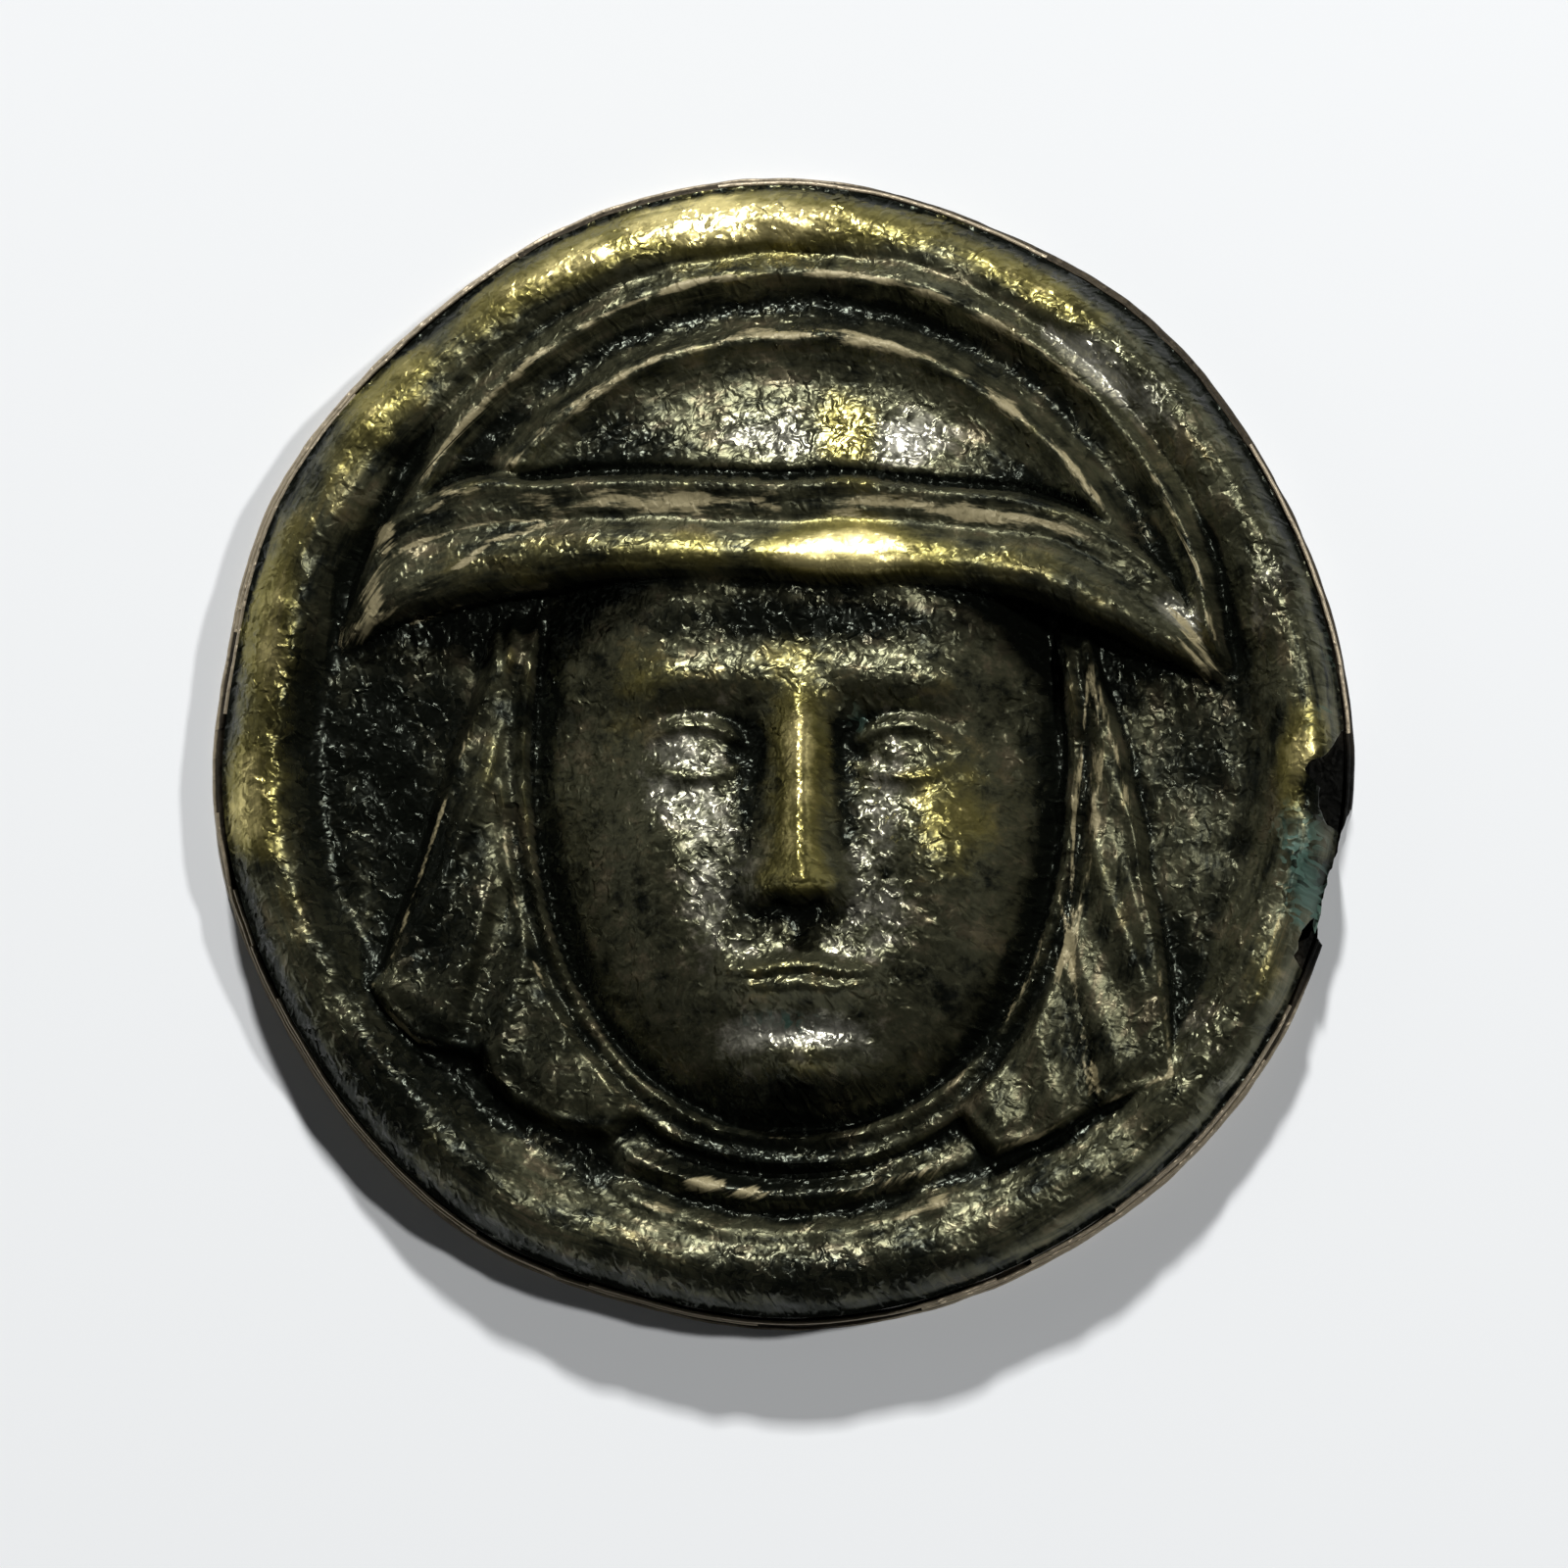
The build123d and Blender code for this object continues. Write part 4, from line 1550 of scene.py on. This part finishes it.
    def bareness(self, x: np.ndarray, y: np.ndarray, z: np.ndarray) -> np.ndarray:
        """Where ridges, hems and edges are rubbed down to pale metal.

        Args:
            x: Places across.
            y: Places upward.
            z: Heights.

        Returns:
            The strength at each place.
        """
        relief = self.relief
        upper, lower = read_curve(relief.brim, 1, x), read_curve(relief.brim, 2, x)
        down = (upper - y) / np.maximum(upper - lower, 0.4)
        above = ease(-0.2, 0.5, y - upper)
        within = ease(-17.6, -16.4, x) * ease(17.6, 16.4, x)
        ring = np.hypot(x - relief.cap_center[0], y - relief.cap_center[1])
        outside = relief.head_distance(x, y)
        inner_edge, outer_edge = outside - relief.band_inner, outside - relief.band_outer
        below_brim = ease(4.5, 3.0, y)
        right_band = bell(outer_edge, 0.3) * ease(2.0, 6.0, x) * ease(-10.5, -8.0, y)
        left_band = bell(outer_edge, 0.13) * ease(-2.5, -5.0, x) * ease(4.0, 2.0, y)
        found = [bell(ring - radius, width) * above for radius, width in self.bare_rings]
        found += [
            bell(down - 0.27, 0.15) * within * ease(-13.0, -8.0, x) * ease(13.0, 10.0, x),
            0.8 * bell(down - relief.brim_band_end, 0.03) * within * ease(-4.0, -9.0, x),
            (right_band + 0.55 * bell(inner_edge, 0.14)) * below_brim,
            0.8 * left_band,
            1.1 * relief.neckline_ridges(x, y),
        ]
        found += [strength * path_bell(run, width, x, y) for run, width, strength in self.bare_paths]
        side = np.where(x < 0, ease(-11.2, -12.0, x), ease(6.0, 9.0, x))
        raised = ease(0.0, 0.5, z - relief.field_height)
        for corners in (*relief.left_panels, *relief.right_panels):
            hem = bell(depth_inside(corners, x, y) - 0.15, np.where(x < 0, 0.12, 0.18))
            found.append(0.95 * hem * raised * side)
        return np.maximum.reduce(found)

    def streak_frame(self, x: np.ndarray, y: np.ndarray, z: np.ndarray) -> tuple[np.ndarray, np.ndarray]:
        """Coordinates that run with the rings, the brim and the bands, for streaks.

        Args:
            x: Places across.
            y: Places upward.
            z: Heights.

        Returns:
            Places along, much drawn out, and across, both in metres.
        """
        relief = self.relief
        upper, lower = read_curve(relief.brim, 1, x), read_curve(relief.brim, 2, x)
        dx, dy = x - relief.cap_center[0], y - relief.cap_center[1]
        outside = relief.head_distance(x, y)
        rim = relief.round_radius(x, y) > relief.roll_foot_radius
        below = y <= lower - self.brim_margin
        on_cap, on_brim = (y > upper) & ~rim, (y <= upper) & ~below & (np.abs(x) < self.brim_reach)
        on_band = below & ~rim & (outside > self.face_margin)
        on_face = below & ~rim & (outside <= self.face_margin)
        drawn_out = np.where(on_face, self.face_streak_share, self.streak_share)
        cases = [on_brim, on_cap, rim, on_band]
        around_cap = np.arctan2(dy, dx) * self.cap_streak_radius
        around_rim = np.arctan2(y, x) * self.rim_streak_radius
        out = np.hypot(x, y) - z * ease(20.0, 21.5, relief.round_radius(x, y))
        along = [x, around_cap, around_rim, y]
        across = [y - (upper + lower) / 2, np.hypot(dx, dy), out, outside * 0.7 + x * 0.5]
        return np.select(cases, along, x) * drawn_out * MM, np.select(cases, across, y) * MM

    def build(self, material: bpy.types.Material) -> bpy.types.Object:
        """Makes, cuts and paints the sheet.

        Args:
            material: Its finish.

        Returns:
            The finished piece.
        """
        sheet = self.cut_losses(self.closed_sheet())
        for name, values in self.masks(points_of(sheet)).items():
            paint(sheet, name, values)
        return dress(sheet, material, 50)


@dataclass
class BackPlate:
    """The dished backing: a two-layered flange outside the wall, and a strap behind."""

    relief: Relief
    front: FrontSheet
    turns: int = 540
    dish_top: float = 2.2
    dish_top_radius: float = 18.6
    dish_foot_radius: float = 20.6
    lip_thickness: float = 0.5
    thickness: float = 0.45
    strap_length: float = 15.0
    strap_width: float = 4.5
    strap_thickness: float = 0.6
    strap_height: float = 0.25
    strap_foot: float = 2.4
    strap_rounding: float = 0.18
    middle_radius: float = 0.6
    sway: float = 0.09
    raggedness: Unevenness = Unevenness(seed=71, spacing=1.1, octaves=4)
    # angle in degrees, share: how far the flange's edge is rubbed pale
    rubbed_shares: Table = (
        (-180, 0.9),
        (-120, 1.0),
        (-90, 0.6),
        (-60, 0.95),
        (-28, 0.9),
        (-12, 0.15),
        (35, 0.1),
        (70, 0.5),
        (120, 0.9),
        (180, 0.95),
    )
    # x, y, reach across, reach upward, turn in degrees, strength: painted shade beneath the tears
    hole_shade_places: Table = ((21.6, -1.4, 1.5, 2.5, 0, 1.5), (20.9, -7.6, 0.9, 1.6, 0, 1.2))
    # set back from the outline, height, how much of it is uneven
    edge_profile: Table = (
        (0.05, 0.0, 0.3),
        (0.0, 0.08, 0.5),
        (0.03, 0.2, 0.7),
        (0.17, 0.26, 0.5),
        (0.15, 0.34, 1.0),
        (0.17, 0.46, 1.0),
        (0.26, 0.5, 0.9),
        (0.38, 0.42, 0.5),
        (0.46, 0.3, 0.2),
        (0.7, 0.3, 0.0),
    )

    def loops(self) -> list[np.ndarray]:
        """Rings of points from the middle of the back round the edge to the middle of the top.

        Returns:
            Rows of x, y, z for each ring.
        """
        turns = np.arange(self.turns) * (2 * np.pi / self.turns)
        outline = self.relief.outline_radius(turns)
        ragged = self.raggedness.at(outline * turns, np.zeros(len(turns)))

        def ring(radius: np.ndarray | float, height: float) -> np.ndarray:
            """One ring at a radius and a height."""
            x, y = radius * np.cos(turns), radius * np.sin(turns)
            return np.stack([x, y, np.full(len(turns), height)], axis=1)

        recess_top = self.dish_top - self.thickness
        made = [
            ring(self.middle_radius, recess_top),
            ring(self.dish_top_radius - self.thickness - 0.25, recess_top),
            ring(self.dish_top_radius - self.thickness, recess_top - 0.15),
            ring(self.dish_foot_radius - self.thickness - 0.1, 0.12),
            ring(self.dish_foot_radius - self.thickness + 0.05, 0.0),
        ]
        for inset, height, share in self.edge_profile:
            edge = outline - inset - self.sway * share * (1 + ragged)
            made.append(ring(np.minimum(edge, outline), height))
        made += [
            ring(self.dish_foot_radius + 0.1, 0.3),
            ring(self.dish_foot_radius - 0.1, self.lip_thickness),
            ring(self.dish_top_radius + 0.1, self.dish_top - 0.12),
            ring(self.dish_top_radius - 0.15, self.dish_top),
            ring(self.middle_radius, self.dish_top),
        ]
        return made

    def plate(self) -> bpy.types.Object:
        """The closed dish with its flange.

        Returns:
            The object.
        """
        rings = self.loops()
        points = np.concatenate(rings)
        step = np.arange(self.turns)
        following = (step + 1) % self.turns
        faces = []
        for number in range(len(rings) - 1):
            low, high = number * self.turns, (number + 1) * self.turns
            faces += np.stack([low + step, high + step, high + following, low + following], axis=1).tolist()
        faces.append(step.tolist())
        faces.append((step + (len(rings) - 1) * self.turns)[::-1].tolist())
        return closed_object("back_plate_shell", points, faces, lambda work: split_faces(work, 4))

    def strap(self) -> bpy.types.Object:
        """The plain strap bridge with its two feet.

        Returns:
            The object.
        """
        half = self.strap_length / 2
        low, high = self.strap_height, self.strap_height + self.strap_thickness
        top = self.dish_top - self.thickness + 0.1
        outline = (
            (-half, low),
            (half, low),
            (half, top),
            (half - self.strap_foot, top),
            (half - self.strap_foot, high),
            (self.strap_foot - half, high),
            (self.strap_foot - half, top),
            (-half, top),
        )
        count = len(outline)
        points = [(x, side * self.strap_width / 2, z) for side in (-1, 1) for x, z in outline]
        faces = [tuple(range(count)), tuple(range(count, 2 * count))[::-1]]
        faces += [(i, count + i, count + (i + 1) % count, (i + 1) % count) for i in range(count)]

        def soften(work: bmesh.types.BMesh) -> None:
            """Rounds every edge."""
            rounding = self.strap_rounding * MM
            bmesh.ops.bevel(work, geom=work.edges[:], offset=rounding, segments=3, affect="EDGES")

        return closed_object("strap", points, faces, soften)

    def build(self, material: bpy.types.Material) -> bpy.types.Object:
        """Makes, joins and paints the backing.

        Args:
            material: Its finish.

        Returns:
            The finished piece.
        """
        joined = combine(self.plate(), [self.strap()], "UNION", "back_plate_joined")
        loss = self.front.ragged_cutter(self.front.edge_loss, EDGE_LOSS_SEED)
        made = combine(joined, [loss], "DIFFERENCE", "back_plate_worn")
        x, y, _ = points_of(made).T
        at_edge = self.relief.mean_radius - self.relief.round_radius(x, y)
        shares = read_curve(self.rubbed_shares, 1, np.degrees(np.arctan2(y, x)))
        paint(made, "worn", shares * ease(0.35, 0.05, at_edge))
        # painted shade beneath the tears
        paint(made, "black", np.clip(patches(self.hole_shade_places, x, y), 0, 1))
        return dress(made, material, 35)


@dataclass
class LipStrands:
    """Thin folded edges of sheet that stand out in strands along the flange."""

    relief: Relief
    radius: float = 0.085
    rubbed: float = 0.95
    step: float = 0.35
    waver: float = 0.16
    waver_scale: float = 0.5
    seed: int = 6
    sides: int = 6
    # first and last angle in degrees, inset from the outline, height
    runs: Table = (
        (186, 232, 0.20, 0.55),
        (194, 226, 0.36, 0.72),
        (200, 246, 0.30, 0.95),
        (206, 238, 0.40, 1.25),
        (236, 268, 0.26, 0.58),
        (250, 292, 0.34, 0.80),
        (284, 328, 0.22, 0.56),
        (296, 334, 0.38, 0.85),
        (306, 330, 0.42, 1.20),
        (2, 34, 0.24, 0.56),
        (62, 96, 0.28, 0.58),
        (118, 168, 0.26, 0.56),
        (140, 176, 0.40, 0.82),
    )

    def paths(self) -> bpy.types.Object:
        """Polylines along the flange, one for each run.

        Returns:
            An object of edges alone.
        """
        points, edges = [], []
        for first, last, inset, height in self.runs:
            start = len(points)
            for angle in np.radians(np.arange(first, last + 1.0, 1.5)):
                reach = float(self.relief.outline_radius(angle)) - inset
                points.append((reach * math.cos(angle), reach * math.sin(angle), height))
            edges += [(number, number + 1) for number in range(start, len(points) - 1)]
        return mesh_object("strand_paths", points, [], edges)

    def tree(self) -> bpy.types.NodeTree:
        """Node tree that sweeps a wavering strand along each path.

        Returns:
            The tree, with its inputs named.
        """
        tree = bpy.data.node_groups.new("lip_strands", "GeometryNodeTree")
        sides = tree.interface
        sides.new_socket("Geometry", in_out="INPUT", socket_type="NodeSocketGeometry")
        for name in ("Strand Radius", "Step", "Waver", "Waver Scale", "Seed"):
            sides.new_socket(name, in_out="INPUT", socket_type="NodeSocketFloat")
        sides.new_socket("Sides", in_out="INPUT", socket_type="NodeSocketInt")
        sides.new_socket("Finish", in_out="INPUT", socket_type="NodeSocketMaterial")
        sides.new_socket("Geometry", in_out="OUTPUT", socket_type="NodeSocketGeometry")
        wires = Wires(tree)
        given = wires.node("NodeGroupInput").outputs
        lines = wires.feed(wires.node("GeometryNodeMeshToCurve"), {"Mesh": given["Geometry"]})
        even = wires.node("GeometryNodeResampleCurve", mode="LENGTH")
        wires.feed(even, {"Curve": lines.outputs["Curve"], "Length": given["Step"]})
        place = wires.node("GeometryNodeInputPosition").outputs["Position"]
        drift = wires.node("ShaderNodeTexNoise", noise_dimensions="4D")
        wires.feed(drift, {"Vector": place, "W": given["Seed"], "Scale": given["Waver Scale"]})
        middle = wires.vector("SUBTRACT", {0: drift.outputs["Color"], 1: HALF})
        shift = wires.vector("SCALE", {0: middle.outputs[0], "Scale": given["Waver"]})
        moved = wires.node("GeometryNodeSetPosition")
        wires.feed(moved, {"Geometry": even.outputs["Curve"], "Offset": shift.outputs[0]})
        section = wires.node("GeometryNodeCurvePrimitiveCircle")
        wires.feed(section, {"Resolution": given["Sides"], "Radius": given["Strand Radius"]})
        sweep = wires.node("GeometryNodeCurveToMesh")
        profile = {"Profile Curve": section.outputs["Curve"], "Fill Caps": True}
        wires.feed(sweep, {"Curve": moved.outputs["Geometry"], **profile})
        real = wires.node("GeometryNodeRealizeInstances")
        wires.feed(real, {"Geometry": sweep.outputs["Mesh"]})
        finished = wires.node("GeometryNodeSetMaterial")
        wires.feed(finished, {"Geometry": real.outputs["Geometry"], "Material": given["Finish"]})
        wires.feed(wires.node("NodeGroupOutput"), {"Geometry": finished.outputs["Geometry"]})
        return tree

    def build(self, material: bpy.types.Material) -> bpy.types.Object:
        """Makes the strands as a plain mesh.

        Args:
            material: Their finish.

        Returns:
            The finished piece.
        """
        paths, tree = self.paths(), self.tree()
        change = paths.modifiers.new("strands", "NODES")
        change.node_group = tree
        values = {
            "Strand Radius": self.radius * MM,
            "Step": self.step * MM,
            "Waver": self.waver * MM,
            "Waver Scale": self.waver_scale / MM,
            "Seed": float(self.seed),
            "Sides": self.sides,
            "Finish": material,
        }
        for item in tree.interface.items_tree:
            if item.in_out == "INPUT" and item.name in values:
                change[item.identifier] = values[item.name]
        made = linked("lip_strands", baked(paths, "lip_strands"))
        discard(paths)
        paint(made, "worn", np.full(len(made.data.vertices), self.rubbed))
        made.data.shade_smooth()
        return made


# The table, the lights and the camera


@dataclass(frozen=True)
class Lamp:
    """One soft square light."""

    name: str
    azimuth: float
    elevation: float
    distance: float
    side: float
    watts: float
    color: Color = (1.0, 1.0, 1.0)

    def build(self) -> None:
        """Places the light and aims it at the medallion."""
        light = bpy.data.lights.new(self.name, "AREA")
        light.shape = "SQUARE"
        light.size = self.side
        light.energy = self.watts
        light.color = self.color
        made = linked(self.name, light)
        turn, rise = math.radians(self.azimuth), math.radians(self.elevation)
        made.location = (
            self.distance * math.cos(rise) * math.sin(turn),
            self.distance * math.cos(rise) * math.cos(turn),
            self.distance * math.sin(rise),
        )
        made.rotation_euler = (-made.location).to_track_quat("-Z", "Y").to_euler()


@dataclass
class Studio:
    """Pale table, lights and camera. The table's side is in millimetres, the rest in metres."""

    table_side: float = 3000.0
    table_color: Color = (0.86, 0.875, 0.885)
    sky_color: Color = (0.9, 0.95, 1.0)
    sky_strength: float = 0.026
    image_side: int = 1600
    object_pixels: float = 1168.0
    object_width: float = 0.045
    center_x: float = 799.0
    center_y: float = 769.0
    lens: float = 400.0
    sensor: float = 36.0
    tilt: float = 2.0
    # azimuth is measured from the top of the cap towards the right
    lamps: tuple[Lamp, ...] = (
        Lamp("lamp_top", -4, 39, 1.0, 0.07, 9.9),
        Lamp("lamp_right", 68, 58, 1.0, 0.06, 4.1),
        Lamp("lamp_left", -80, 30, 1.0, 0.5, 0.25),
    )

    def build_table(self) -> bpy.types.Object:
        """The table top.

        Returns:
            The table.
        """
        half = self.table_side / 2
        points = [(-half, -half, 0), (half, -half, 0), (half, half, 0), (-half, half, 0)]
        made = mesh_object("table", points, [(0, 1, 2, 3)])
        material, wires, shader = new_material(Finish.TABLE)
        color = (*self.table_color, 1.0)
        wires.feed(shader, {"Base Color": color, "Roughness": 0.9, "Specular IOR Level": 0.1})
        made.data.materials.append(material)
        return made

    def build_camera(self) -> None:
        """The camera, all but straight above."""
        pixel = self.object_width / self.object_pixels
        view_width = pixel * self.image_side
        distance = view_width * self.lens / self.sensor
        camera = bpy.data.cameras.new("camera")
        camera.lens = self.lens
        camera.sensor_width = self.sensor
        camera.clip_start = 0.01
        camera.clip_end = 10.0
        camera.shift_x = (self.image_side / 2 - self.center_x) / self.image_side
        camera.shift_y = (self.center_y - self.image_side / 2) / self.image_side
        made = linked("camera", camera)
        lean = math.radians(self.tilt)
        made.location = (0.0, -distance * math.sin(lean), distance * math.cos(lean))
        made.rotation_euler = (lean, 0.0, 0.0)
        bpy.context.scene.camera = made

    def build(self) -> None:
        """Sets up everything round the medallion."""
        self.build_table()
        for lamp in self.lamps:
            lamp.build()
        world = bpy.data.worlds.new("studio")
        bpy.context.scene.world = world
        world.use_nodes = True
        sky = world.node_tree.nodes["Background"]
        sky.inputs["Color"].default_value = (*self.sky_color, 1.0)
        sky.inputs["Strength"].default_value = self.sky_strength
        self.build_camera()
        bpy.context.scene.view_settings.view_transform = "Standard"


def main() -> None:
    """Builds the medallion and its studio."""
    logging.basicConfig(level=logging.INFO, format="%(message)s")
    grain = CrystalGrain().build()
    relief = Relief()
    front = FrontSheet(relief)
    sheet = front.build(WornGilding().build(grain))
    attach(sheet, "root")
    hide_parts("front_sheet")
    LOG.info("front sheet: %d faces", len(sheet.data.polygons))
    bronze = DullBronze().build(grain)
    plate = BackPlate(relief, front).build(bronze)
    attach(plate, "root")
    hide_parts("back_plate")
    LOG.info("back plate: %d faces", len(plate.data.polygons))
    strands = LipStrands(relief).build(bronze)
    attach(strands, "root")
    LOG.info("lip strands: %d faces", len(strands.data.polygons))
    Studio().build()
    LOG.info("studio set")


if __name__ == "__main__":
    main()
